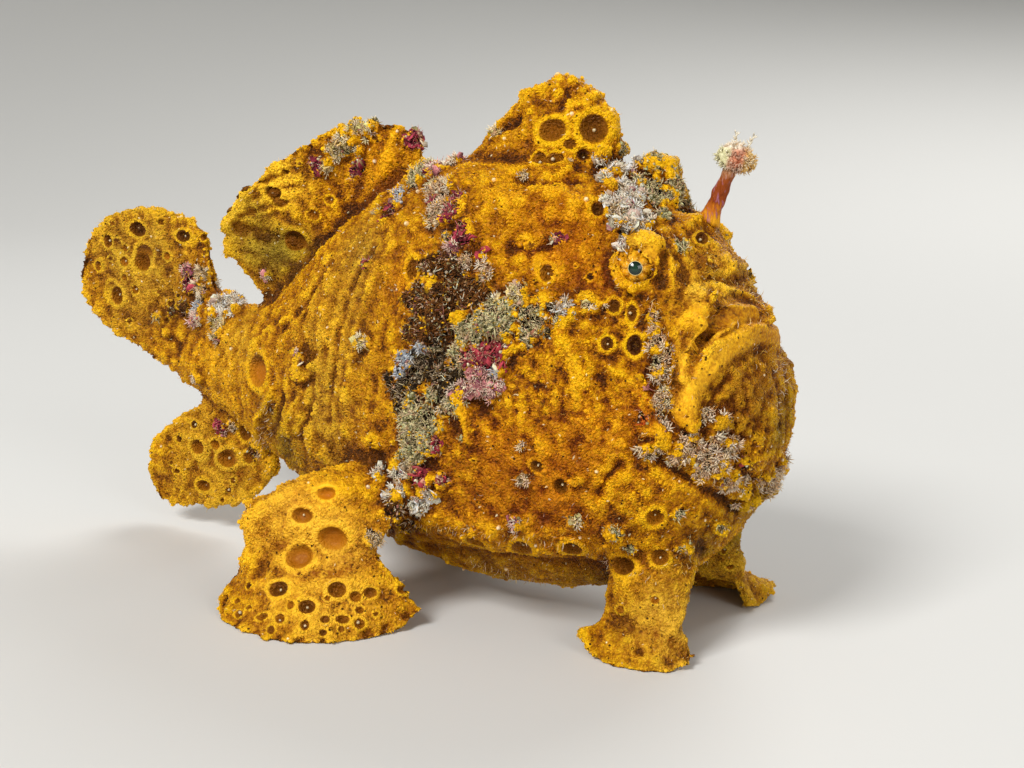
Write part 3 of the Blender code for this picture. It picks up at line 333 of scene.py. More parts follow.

# Where the yellow turns, by tints of the flesh and by painted shade and light: colour, strength, and pixel
# and half width of each place
TINTS_AND_SHADES = (
    ("#F4B40E", 0.62, (
        (500, 190, 30), (740, 338, 11), (722, 352, 11), (706, 370, 11), (694, 392, 11), (690, 318, 20),
        (700, 360, 22), (655, 250, 18), (375, 150, 30), (270, 520, 30), (320, 505, 40), (230, 360, 40),
        (330, 330, 30), (740, 345, 18), (688, 400, 14), (320, 590, 60), (660, 630, 26), (630, 560, 30),
        (215, 455, 50), (698, 316, 9), (706, 256, 12))),
    ("#C46A06", 0.35, (
        (600, 430, 50), (550, 220, 50), (560, 470, 50), (500, 450, 40), (560, 250, 26), (400, 280, 24),
        (645, 410, 24), (480, 500, 40), (380, 170, 26), (300, 500, 16), (560, 520, 40), (600, 280, 26))),
    # painted shade under the fold of the dorsal fin's rear lobe
    ("#8A7420", 0.7, ((255, 250, 26), (285, 252, 28), (240, 232, 16))),
    # darker orange on the lower flank and belly, partly the flesh's tint and partly painted shade on the
    # underside
    ("#9A5606", 0.5, (
        (510, 495, 36), (560, 500, 36), (470, 470, 26), (500, 556, 50), (580, 566, 40), (440, 540, 30),
        (560, 420, 20), (590, 455, 20))),
    # olive painted shade on the chin and the underside
    ("#6E5E10", 0.5, (
        (778, 430, 24), (760, 500, 30), (735, 540, 40), (500, 572, 40), (590, 580, 46), (280, 440, 44),
        (735, 560, 40))),
    ("#B87C10", 0.85, ((728, 318, 12), (746, 312, 11), (714, 326, 9))),
    ("#E8B62C", 0.6, (
        (748, 342, 16), (700, 270, 28), (728, 290, 20), (716, 346, 26), (690, 390, 22), (688, 350, 14),
        (690, 300, 22), (640, 245, 20))),
    ("#96600F", 0.72, ((745, 385, 38), (740, 420, 34), (765, 360, 22), (740, 256, 22), (700, 236, 16))),
    ("#B8942E", 0.45, (
        (210, 455, 60), (140, 260, 60), (330, 330, 60), (330, 430, 60), (360, 250, 40), (240, 340, 40))),
    # painted light on the upper part of the dorsal fin's rear lobe, which leans out into the light
    ("#F4C22C", 0.6, ((250, 198, 22), (282, 180, 24), (236, 208, 10))),
    ("#E0B040", 0.5, (
        (320, 600, 60), (280, 520, 40), (340, 540, 30), (660, 630, 40), (715, 258, 10), (742, 262, 10),
        (752, 284, 9), (694, 292, 10))),
)

# Paths where pale threads stand in a fringe, and places where the skin stays smooth with few spinules
FRINGES = (
    ((706, 276), (722, 279), (742, 286), (764, 302)), ((690, 330), (712, 318), (716, 308)),
    ((760, 324), (744, 329), (724, 341), (708, 354), (696, 370), (688, 388)),
    ((752, 346), (766, 352), (778, 372), (790, 400)), ((650, 300), (664, 330), (668, 372), (664, 410)),
    ((408, 522), (440, 527), (480, 531), (530, 536), (575, 542)), ((470, 560), (500, 572), (540, 580)),
    ((742, 470), (756, 486), (760, 506)), ((270, 404), (264, 430), (262, 452)),
    ((600, 560), (640, 575), (690, 560)), ((646, 436), (676, 458), (712, 474), (740, 490)),
)
CALM = (
    (728, 318, 14), (744, 313, 12), (714, 324, 10), (754, 312, 8), (735, 326, 7), (720, 335, 7),
    (698, 315, 9), (634.6, 268, 14), (650, 252, 8), (705, 214, 10), (327, 494, 12), (302, 515, 10),
    (332, 538, 14), (299, 557, 12), (257, 371, 10),
)


# Helpers

def linear(code):
    """An sRGB hex colour as the linear RGBA that a shader takes."""
    parts = [int(code[i:i + 2], 16) / 255 for i in (1, 3, 5)]
    return tuple(c / 12.92 if c <= 0.04045 else ((c + 0.055) / 1.055) ** 2.4 for c in parts) + (1.0,)


def paint(code):
    """The same colour as an array, for the colours that points carry."""
    return np.array(linear(code)[:3])


def select_only(*pieces):
    bpy.ops.object.select_all(action="DESELECT")
    for piece in pieces:
        piece.select_set(True)
    bpy.context.view_layer.objects.active = pieces[0]


def applied(piece, kind, **settings):
    """Adds a modifier with its settings and applies it."""
    select_only(piece)
    modifier = piece.modifiers.new(kind.lower(), kind)
    for key, value in settings.items():
        setattr(modifier, key, value)
    bpy.ops.object.modifier_apply(modifier=modifier.name)
    return piece


def points_of(piece):
    points = np.empty(len(piece.data.vertices) * 3)
    piece.data.vertices.foreach_get("co", points)
    return points.reshape(-1, 3)


def normals_of(piece):
    normals = np.empty(len(piece.data.vertices) * 3, np.float32)
    piece.data.vertex_normals.foreach_get("vector", normals)
    return normals.reshape(-1, 3).astype(float)


def set_points(piece, points):
    piece.data.vertices.foreach_set("co", points.astype(np.float32).ravel())
    piece.data.update()


def store(piece, name, values):
    """Keeps a number, or a colour, for each vertex under a name that the materials read."""
    kind, field = ("FLOAT", "value") if values.ndim == 1 else ("FLOAT_COLOR", "color")
    if values.ndim == 2 and values.shape[1] == 3:
        values = np.column_stack((values, np.ones(len(values))))
    attribute = piece.data.attributes.new(name, kind, "POINT")
    attribute.data.foreach_set(field, values.astype(np.float32).ravel())


def unit(vectors):
    return vectors / np.maximum(np.linalg.norm(vectors, axis=-1, keepdims=True), 1e-12)


def step_up(low, high, values):
    """0 at low and 1 at high, with a smooth rise between them."""
    share = np.clip((values - low) / (high - low), 0, 1)
    return share * share * (3 - 2 * share)


def blend(first, second, share):
    return first + (second - first) * np.asarray(share)[..., None]


def flesh_colour(level):
    """The flesh's yellow at each level, from 0 in the deepest hollows to 1; the level follows the relief,
    so its dark end is partly painted shade.
    """
    places = [place for place, code in FLESH_STOPS]
    colours = np.array([linear(code)[:3] for place, code in FLESH_STOPS])
    return np.column_stack([np.interp(level, places, colours[:, i]) for i in range(3)])


def cells_of(points, size):
    """The whole number and the rest of each point's place in a grid, with a key for a corner."""
    cells = points / size + 500
    low = np.floor(cells).astype(np.int64)

    def key(corner):
        at = low + corner
        return (at[:, 0] * 73856093 ^ at[:, 1] * 19349663 ^ at[:, 2] * 83492791) & 4095

    return cells, low, key


def soft_noise(points, size, draw):
    """Smooth noise from -1 to 1 with lumps of about that size. draw tells one use from another."""
    table = np.random.default_rng(SEED + draw).random(4096) * 2 - 1
    cells, low, key = cells_of(points, size)
    share = cells - low
    share = share * share * (3 - 2 * share)
    total = np.zeros(len(points))
    for corner in np.ndindex(2, 2, 2):
        total += np.prod(np.where(corner, share, 1 - share), axis=1) * table[key(corner)]
    return total


def knobs(points, size, draw):
    """Rounded knobs about that size apart: 1 on the top of each, 0 in the gaps between them."""
    table = np.random.default_rng(SEED + draw).random((4096, 3))
    cells, low, key = cells_of(points, size)
    nearest = np.full(len(points), 9.0)
    for corner in np.ndindex(3, 3, 3):
        corner = np.array(corner) - 1
        nearest = np.minimum(nearest, np.linalg.norm(low + corner + table[key(corner)] - cells, axis=1))
    return np.clip(1 - nearest ** 2 / 0.6, 0, 1)


class Nearby:
    """Finds the points round a place."""

    def __init__(self, points):
        self.points, self.order = points, np.argsort(points[:, 0])
        self.along = points[self.order, 0]

    def within(self, place, reach):
        first, last = np.searchsorted(self.along, (place[0] - reach, place[0] + reach))
        near = self.order[first:last]
        offset = self.points[near] - place
        inside = (offset ** 2).sum(axis=1) < reach * reach
        return near[inside], offset[inside]


def node_copy(name):
    """A merged copy of a CAD node's mesh as a new object."""
    piece = bpy.data.objects.new(name + "_copy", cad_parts[name].data.copy())
    bpy.context.scene.collection.objects.link(piece)
    select_only(piece)
    bpy.ops.object.mode_set(mode="EDIT")
    bpy.ops.mesh.select_all(action="SELECT")
    bpy.ops.mesh.remove_doubles(threshold=0.01 * MM)
    bpy.ops.object.mode_set(mode="OBJECT")
    return piece


def surface_of(piece):
    faces = [tuple(face.vertices) for face in piece.data.polygons]
    return BVHTree.FromPolygons([Vector(point) for point in points_of(piece)], faces)


def dressed(piece, name, material, *nodes, slot="flesh"):
    """Names a piece, gives it its material, hangs it from the root and hides the nodes that it stands for.
    """
    piece.name = piece.data.name = name
    piece.data.materials.clear()
    piece.data.materials.append(material)
    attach(piece, "root")
    if nodes:
        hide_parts(*nodes)
    return piece


# The photograph's camera

def photo_camera():
    turn, rise = math.radians(CAMERA_TURN), math.radians(CAMERA_RISE)
    back = Vector((math.sin(turn) * math.cos(rise), -math.cos(turn) * math.cos(rise), math.sin(rise)))
    facing = (-back).to_track_quat("-Z", "Y") @ Quaternion((0, 0, 1), math.radians(CAMERA_ROLL))
    bpy.ops.object.camera_add(location=CAMERA_TARGET + back * CAMERA_DISTANCE, rotation=facing.to_euler())
    camera = bpy.context.object
    camera.name = "photo_camera"
    camera.data.sensor_width = 36
    camera.data.lens = camera.data.sensor_width * FOCAL_PIXELS / PHOTO_WIDTH
    camera.data.clip_start, camera.data.clip_end = 0.01, 20
    bpy.context.scene.camera = camera
    return camera.location.copy(), facing


CAMERA_PLACE, CAMERA_FACING = photo_camera()
CAMERA_RIGHT, CAMERA_UP = CAMERA_FACING @ Vector((1, 0, 0)), CAMERA_FACING @ Vector((0, 1, 0))
OTHER_SIDE = Vector((1, -1, 1))


def cast(surface, u, v):
    """Where the photograph's pixel falls on a surface: the place, the normal and metres per pixel."""
    aim = Vector(((u - PHOTO_WIDTH / 2) / FOCAL_PIXELS, (PHOTO_HEIGHT / 2 - v) / FOCAL_PIXELS, -1))
    place, normal, _, distance = surface.ray_cast(CAMERA_PLACE, (CAMERA_FACING @ aim).normalized())
    return (place, normal, distance / FOCAL_PIXELS) if place else None


def cast_near(surface, u, v):
    """As cast, but a pixel just above the outline falls on the skin below it."""
    for drop in (0, 6, 12, 18, 24):
        hit = cast(surface, u, v + drop)
        if hit:
            return hit
    return None


def path_on(surface, pixels):
    """A path of pixels as two rows of places and normals, for this side of the fish and the other."""
    hits = [hit for hit in (cast_near(surface, u, v) for u, v in pixels) if hit]
    if not hits:
        return []
    twins = [surface.find_nearest(place * OTHER_SIDE) for place, _, _ in hits]
    scale = sum(hit[2] for hit in hits) / len(hits)
    # a path that ends close to the middle of the fish meets its twin there
    for end, at in ((0, 0), (-1, len(hits))):
        if len(pixels) > 1 and abs(hits[end][0].y) < MEETS:
            middle = surface.find_nearest((hits[end][0] + twins[end][0]) / 2)
            hits.insert(at, middle)
            twins.insert(at, middle)
    return [(np.array([hit[0] for hit in row]), np.array([hit[1] for hit in row]), scale)
            for row in (hits, twins)]


def path_share(near_by, normals, path, half_width, power=2):
    """The points near a path and their shares, 1 on it and less away from it. More power, flatter top."""
    places, facing, scale = path
    reach = half_width * scale
    centre = places.mean(axis=0)
    near, _ = near_by.within(centre, np.linalg.norm(places - centre, axis=1).max() + 2.2 * reach)
    points = near_by.points[near]
    nearest = np.full(len(near), np.inf)
    for i in range(max(1, len(places) - 1)):
        start, run = places[i], places[min(i + 1, len(places) - 1)] - places[i]
        along = np.clip((points - start) @ run / max(run @ run, 1e-12), 0, 1)
        nearest = np.minimum(nearest, np.linalg.norm(points - start - along[:, None] * run, axis=1))
    same_side = step_up(-0.2, 0.4, normals[near] @ unit(facing.mean(axis=0)))
    return near, np.exp(-(nearest / reach) ** power) * same_side


def both_sides(near_by, normals, surface, pixels, half_width, power=2):
    """For every point its share in a path or in the path's twin, whichever is more."""
    whole = np.zeros(len(near_by.points))
    for path in path_on(surface, pixels):
        near, share = path_share(near_by, normals, path, half_width, power)
        whole[near] = np.maximum(whole[near], share)
    return whole


# Marks on the skin

def spots_on(surface, groups, wander, draw):
    """Spots of each group as place, reach and group, on both sides. wander is how far a twin may be off."""
    draw = np.random.default_rng(SEED + draw)
    spots = []
    for group, pixels in enumerate(groups):
        for u, v, half_width in pixels:
            hit = cast_near(surface, u, v)
            if hit is None:
                continue
            place, _, scale = hit
            spots.append((np.array(place), half_width * scale, group))
            shift = Vector(draw.normal(0, wander, 3))
            twin = surface.find_nearest(place * OTHER_SIDE + shift)[0]
            spots.append((np.array(twin), half_width * scale * draw.uniform(0.8, 1.2), group))
    return spots


def spot_share(near_by, spots, ragged):
    """For each point how deep it lies in the group of spots that holds it most, and that group."""
    share = np.zeros(len(near_by.points))
    group = np.zeros(len(near_by.points), int)
    for place, reach, kind in spots:
        near, offset = near_by.within(place, 1.5 * reach)
        deep = 1.4 - np.linalg.norm(offset, axis=1) / reach + ragged[near]
        wins = deep > share[near]
        share[near[wins]] = deep[wins]
        group[near[wins]] = kind
    return share, group


def pore_rings(surface):
    """Each pore as its centre, normal, two half axes on the skin, size and darkness, on both sides."""
    draw = np.random.default_rng(SEED)
    rings = []
    for u, v, half_width, half_height, tone in PORES:
        hit = cast(surface, u, v)
        if hit is None:
            continue
        place, normal, scale = hit
        along = (CAMERA_RIGHT - normal * CAMERA_RIGHT.dot(normal)).normalized()
        around = normal.cross(along)
        long = half_width * scale / max(0.5, abs(along.dot(CAMERA_RIGHT)))
        tall = half_height * scale / max(0.5, abs(around.dot(CAMERA_UP)))
        rings.append((place, normal, along / long, around / tall, max(long, tall), tone))
        size = draw.uniform(0.85, 1.15)
        twin, facing, _, _ = surface.find_nearest(place * OTHER_SIDE + Vector(draw.normal(0, 1.5, 3)) * MM)
        rings.append((twin, facing, along * OTHER_SIDE / long / size, around * OTHER_SIDE / tall / size,
                      max(long, tall) * size, tone))
    return rings


def pore_marks(near_by, rings):
    """How far each point is from a pore's middle, 1 at its rim, that pore's darkness and size, and how
    high the point lies over the middle."""
    count = len(near_by.points)
    far, tone, size, rise = np.full(count, 3.0), np.zeros(count), np.zeros(count), np.zeros(count)
    for place, normal, along, around, reach, dark in rings:
        near, offset = near_by.within(np.array(place), 3 * reach)
        distance = np.hypot(offset @ np.array(along), offset @ np.array(around))
        distance = np.maximum(distance, np.abs(offset @ np.array(normal)) / reach)
        wins = distance < far[near]
        far[near[wins]], tone[near[wins]], size[near[wins]] = distance[wins], dark, reach
        rise[near[wins]] = offset[wins, 2] / reach
    return far, tone, size, rise


# Skin

def grown_skin():
    """All the nodes of flesh, grown until they meet, as one closed skin."""
    copies = [node_copy(name) for name in FLESH]
    select_only(*copies)
    bpy.ops.object.join()
    skin = bpy.context.object
    bpy.ops.object.mode_set(mode="EDIT")
    bpy.ops.mesh.select_all(action="SELECT")
    bpy.ops.transform.shrink_fatten(value=SEAM_REACH)
    bpy.ops.object.mode_set(mode="OBJECT")
    applied(skin, "REMESH", mode="VOXEL", voxel_size=SKIN_GRAIN, use_smooth_shade=True)
    applied(skin, "SMOOTH", factor=0.5, iterations=6)
    surface, points, normals = surface_of(skin), points_of(skin), normals_of(skin)
    depth = np.full(len(points), COAT_DEPTH)
    for i, (point, normal) in enumerate(zip(points, normals)):
        through = surface.ray_cast(point - normal * 0.2 * MM, -normal, COAT_DEPTH / THIN_SHARE)[3]
        if through:
            depth[i] = through * THIN_SHARE
    edges = edges_of(skin)
    for _ in range(3):
        depth = np.minimum(depth, spread_out(depth, edges))
    set_points(skin, points - normals * depth[:, None])
    return skin


def spread_out(values, edges):
    """Each point's value as the mean of its neighbours'."""
    first, second = edges[:, 0], edges[:, 1]
    count = len(values)
    links = np.bincount(first, minlength=count) + np.bincount(second, minlength=count)
    return (np.bincount(first, values[second], count) + np.bincount(second, values[first], count)) / links


def edges_of(piece):
    edges = np.empty(len(piece.data.edges) * 2, np.int32)
    piece.data.edges.foreach_get("vertices", edges)
    return edges.reshape(-1, 2)


def stand_off(points, normals, edges, rounds):
    """How far each point stands out of its smoothed surroundings, below 0 in a hollow."""
    smooth = points.copy()
    for _ in range(rounds):
        smooth = np.column_stack([spread_out(smooth[:, i], edges) for i in range(3)])
    return ((points - smooth) * normals).sum(axis=1)


def drawn_back(skin):
    """The far side of the snout, drawn back to the photograph's outline, since the mouth gapes askew."""
    points = points_of(skin)
    x, y, z = (points / MM).T
    share = step_up(0, 15, y) * step_up(102, 113, x) * step_up(78, 98, z) * step_up(132, 116, z)
    gape = step_up(0, 10, y) * step_up(102, 113, x) * step_up(89, 93, z) * step_up(103, 99, z)
    set_points(skin, points - (share[:, None] * DRAWN_BACK + gape[:, None] * GAPE_BACK) * MM)


def folded(skin, surface):
    """The folds, grooves and knobs of the photograph, and how smooth each point stays."""
    points, normals = points_of(skin), normals_of(skin)
    near_by = Nearby(points)
    height, calm = np.zeros(len(points)), np.zeros(len(points))
    for rise, half_width, smooth, pixels in FOLDS:
        share = both_sides(near_by, normals, surface, pixels, half_width, 4 if smooth >= BROAD else 2)
        height += rise * share
        calm = np.maximum(calm, smooth * share)
    for u, v, half_width in CALM:
        share = both_sides(near_by, normals, surface, ((u, v),), half_width)
        calm = np.maximum(calm, np.minimum(1, 1.5 * share))
    set_points(skin, points + level_near_floor(points, normals, *FOLD_FADE) * (height * MM)[:, None])
    return calm


def level_near_floor(points, normals, low, high):
    """Normals that lie level near the floor, so that what rests on it stays flat."""
    level = normals.copy()
    level[:, 2] *= step_up(low, high, points[:, 2] / MM)
    return level


def lumped(skin, surface, calm, rings, spots):
    """Lumps, wrinkles, growths and pores, as moves of the skin's points along its normals."""
    points, normals = points_of(skin), normals_of(skin)
    mm, near_by = points / MM, Nearby(points)
    rear = step_up(20, -20, mm[:, 0])
    bent = mm[:, 0] - 0.3 * mm[:, 2] + 5.5 * soft_noise(mm, 13, 6)
    sheared = np.column_stack((bent, mm[:, 1] * 0.6, mm[:, 2] * 0.28))
    wrinkles = 1 - 2 * np.abs(soft_noise(sheared, 4.0, 3))
    low = soft_noise(mm, 12, 1)
    middle = soft_noise(mm, 5.5, 2)
    big, small = knobs(mm, 5.2, 4), knobs(mm, 2.7, 5)
    patchy = step_up(-0.3, 0.5, soft_noise(mm, 16, 9))
    height = 0.8 * low + 0.75 * middle + 0.8 * big * patchy + 0.35 * small
    height += 0.48 * (wrinkles - 0.4) * rear * step_up(-0.6, 0.5, soft_noise(mm, 9, 14))
    height -= 0.55
    for rise, spacing, places in KNOBBLY:
        extra = rise * (knobs(mm, spacing, 10) - 0.25)
        for u, v, half_width in places:
            height += extra * both_sides(near_by, normals, surface, ((u, v),), half_width)
    # scalloped edges of the fins, those of the hands and feet along the floor
    scallop = EDGE_RISE * np.clip(EDGE_OUT / EDGE_FULL, 0, 1) * (knobs(mm, 3.2, 11) - 0.35)
    height *= 1 - 0.85 * calm
    far, _, size, _ = pore_marks(near_by, rings)
    height *= step_up(0.9, 1.6, far)
    depth = np.clip(size / MM * PORE_DEPTH, *PORE_LIMITS)
    pit = -depth * (1 - step_up(0.5, 1.02, far))
    height += pit + RIM_RISE * np.exp(-((far - 1.2) / 0.24) ** 2) * (size > 0)
    share, group = spot_share(near_by, spots, ragged_edge(mm))
    stands = np.array([kind[2] for kind in GROWTHS])[group]
    crumbled = 1.1 * knobs(mm, 3.4, 7) + 0.8 * knobs(mm, 2.0, 8) + 0.5 * middle - 0.35
    height += step_up(0.1, 0.7, share) * (stands * crumbled)
    above_floor = step_up(*LUMP_FADE, mm[:, 2])
    sideways = level_near_floor(points, normals, *LUMP_FADE)
    moved = points + (normals * (height * above_floor)[:, None] + sideways * scallop[:, None]) * MM
    moved[:, 2] = np.maximum(moved[:, 2], 0)
    set_points(skin, moved)


def ragged_edge(mm):
    """What makes the edge of a growth ragged, in shares of its reach."""
    return 0.42 * soft_noise(mm, 3.4, 20) + 0.25 * soft_noise(mm, 7, 21) + 0.2 * soft_noise(mm, 1.6, 22)


skin = grown_skin()
drawn_back(skin)
bare = surface_of(skin)
EDGE_OUT = stand_off(points_of(skin), normals_of(skin), edges_of(skin), EDGE_ROUNDS) / MM
calm = folded(skin, bare)
RINGS = pore_rings(bare)
SPOTS = spots_on(bare, [kind[3] for kind in GROWTHS], 2.5 * MM, 30)
lumped(skin, bare, calm, RINGS, SPOTS)
relief = stand_off(points_of(skin), normals_of(skin), edges_of(skin), RELIEF_ROUNDS) / MM
store(skin, "relief", np.clip(relief / RELIEF_FULL, -1.2, 1.2) * (1 - 0.7 * calm))
store(skin, "edge", np.clip(EDGE_OUT / EDGE_FULL, 0, 1))
store(skin, "calm", calm)
ratio = SKIN_TRIANGLES / (2 * len(skin.data.polygons))
applied(skin, "DECIMATE", decimate_type="COLLAPSE", ratio=min(1.0, ratio))


def stored(piece, name):
    values = np.empty(len(piece.data.vertices), np.float32)
    piece.data.attributes[name].data.foreach_get("value", values)
    return values.astype(float)


def marked(skin):
    """Every mark at each of the skin's points. The skin's material and the coats both read these."""
    points, normals = points_of(skin), normals_of(skin)
    mm, near_by = points / MM, Nearby(points)
    marks = {"place": points, "up": normals}
    for name in ("relief", "edge", "calm"):
        marks[name] = stored(skin, name)
    marks["pore"], marks["pore_tone"], _, marks["pore_rise"] = pore_marks(near_by, RINGS)
    share, group = spot_share(near_by, SPOTS, ragged_edge(mm))
    marks["growth"] = step_up(0.1, 1.0, share)
    colours = np.array([[paint(kind[0]), paint(kind[1])] for kind in GROWTHS])
    marks["growth_kind"] = group
    marks["growth_low"], marks["growth_high"] = colours[group, 0], colours[group, 1]
    # tints of the flesh, some of them painted shade and light, and how much of each point they hold
    tint_and_shade = np.zeros((len(points), 4))
    tint_and_shade[:, :3] = paint(FLESH_STOPS[2][1])
    tint_and_shade_spots = spots_on(bare, [kind[2] for kind in TINTS_AND_SHADES], 4 * MM, 40)
    for place, reach, kind in tint_and_shade_spots:
        near, offset = near_by.within(place, 1.8 * reach)
        share = TINTS_AND_SHADES[kind][1] * np.exp(-(np.linalg.norm(offset, axis=1) / reach) ** 2)
        share = np.clip(share * (1 + 0.6 * soft_noise(mm[near], 9, 23)), 0, 1)
        fresh = share / (share + tint_and_shade[near, 3] + 1e-6)
        tint_and_shade[near, :3] = blend(tint_and_shade[near, :3], paint(TINTS_AND_SHADES[kind][0]), fresh)
        tint_and_shade[near, 3] = np.clip(tint_and_shade[near, 3] + share * (1 - tint_and_shade[near, 3]), 0, 1)
    marks["tint_and_shade"], marks["tint_and_shade_share"] = tint_and_shade[:, :3], tint_and_shade[:, 3]
    fringe = np.zeros(len(points))
    for pixels in FRINGES:
        fringe = np.maximum(fringe, both_sides(near_by, normals, bare, pixels, 7))
    marks["fringe"] = fringe
    return marks


MARKS = marked(skin)
for name in ("pore", "pore_tone", "pore_rise", "growth"):
    store(skin, name, MARKS[name])
store(skin, "tint_and_shade", np.column_stack((MARKS["tint_and_shade"], MARKS["tint_and_shade_share"])))
for name in ("tint_and_shade_share", "growth_low", "growth_high"):
    store(skin, name, MARKS[name])


# Materials

MATH, MIX, RANGE, ATTRIBUTE = "ShaderNodeMath", "ShaderNodeMix", "ShaderNodeMapRange", "ShaderNodeAttribute"
NOISE, CELLS, RAMP = "ShaderNodeTexNoise", "ShaderNodeTexVoronoi", "ShaderNodeValToRGB"
PLACE, SHADER, OUTPUT = "ShaderNodeTexCoord", "ShaderNodeBsdfPrincipled", "ShaderNodeOutputMaterial"
# What a Mix node takes to mix two colours
COLOUR = {"give": 2, "data_type": "RGBA"}


def node(tree, kind, links=None, give=0, stops=(), **settings):
    """Adds a node with its settings, colour stops, and links or values for its inputs. Gives an output."""
    made = tree.nodes.new(kind)
    for key, value in settings.items():
        setattr(made, key, value)
    for key, value in (links or {}).items():
        socket = made.inputs[key]
        if isinstance(value, bpy.types.NodeSocket):
            tree.links.new(value, socket)
        else:
            socket.default_value = value
    for i, (place, code) in enumerate(stops):
        while len(made.color_ramp.elements) <= i:
            made.color_ramp.elements.new(1.0)
        made.color_ramp.elements[i].position, made.color_ramp.elements[i].color = place, linear(code)
    return made.outputs[give] if made.outputs else None


def new_material(name):
    """A new material, and what adds nodes to it."""
    material = bpy.data.materials.new(name)
    material.use_nodes = True
    material.node_tree.nodes.clear()
    return material, partial(node, material.node_tree)


def finished(add, colour, bump_height, bump_depth, **values):
    """Ends a material with a bump, a surface and the output."""
    bump = add("ShaderNodeBump", {"Strength": 1.0, "Distance": bump_depth, "Height": bump_height})
    inputs = {"Base Color": colour, "Normal": bump}
    inputs.update({key.replace("_", " "): value for key, value in values.items()})
    add(OUTPUT, {"Surface": add(SHADER, inputs)})


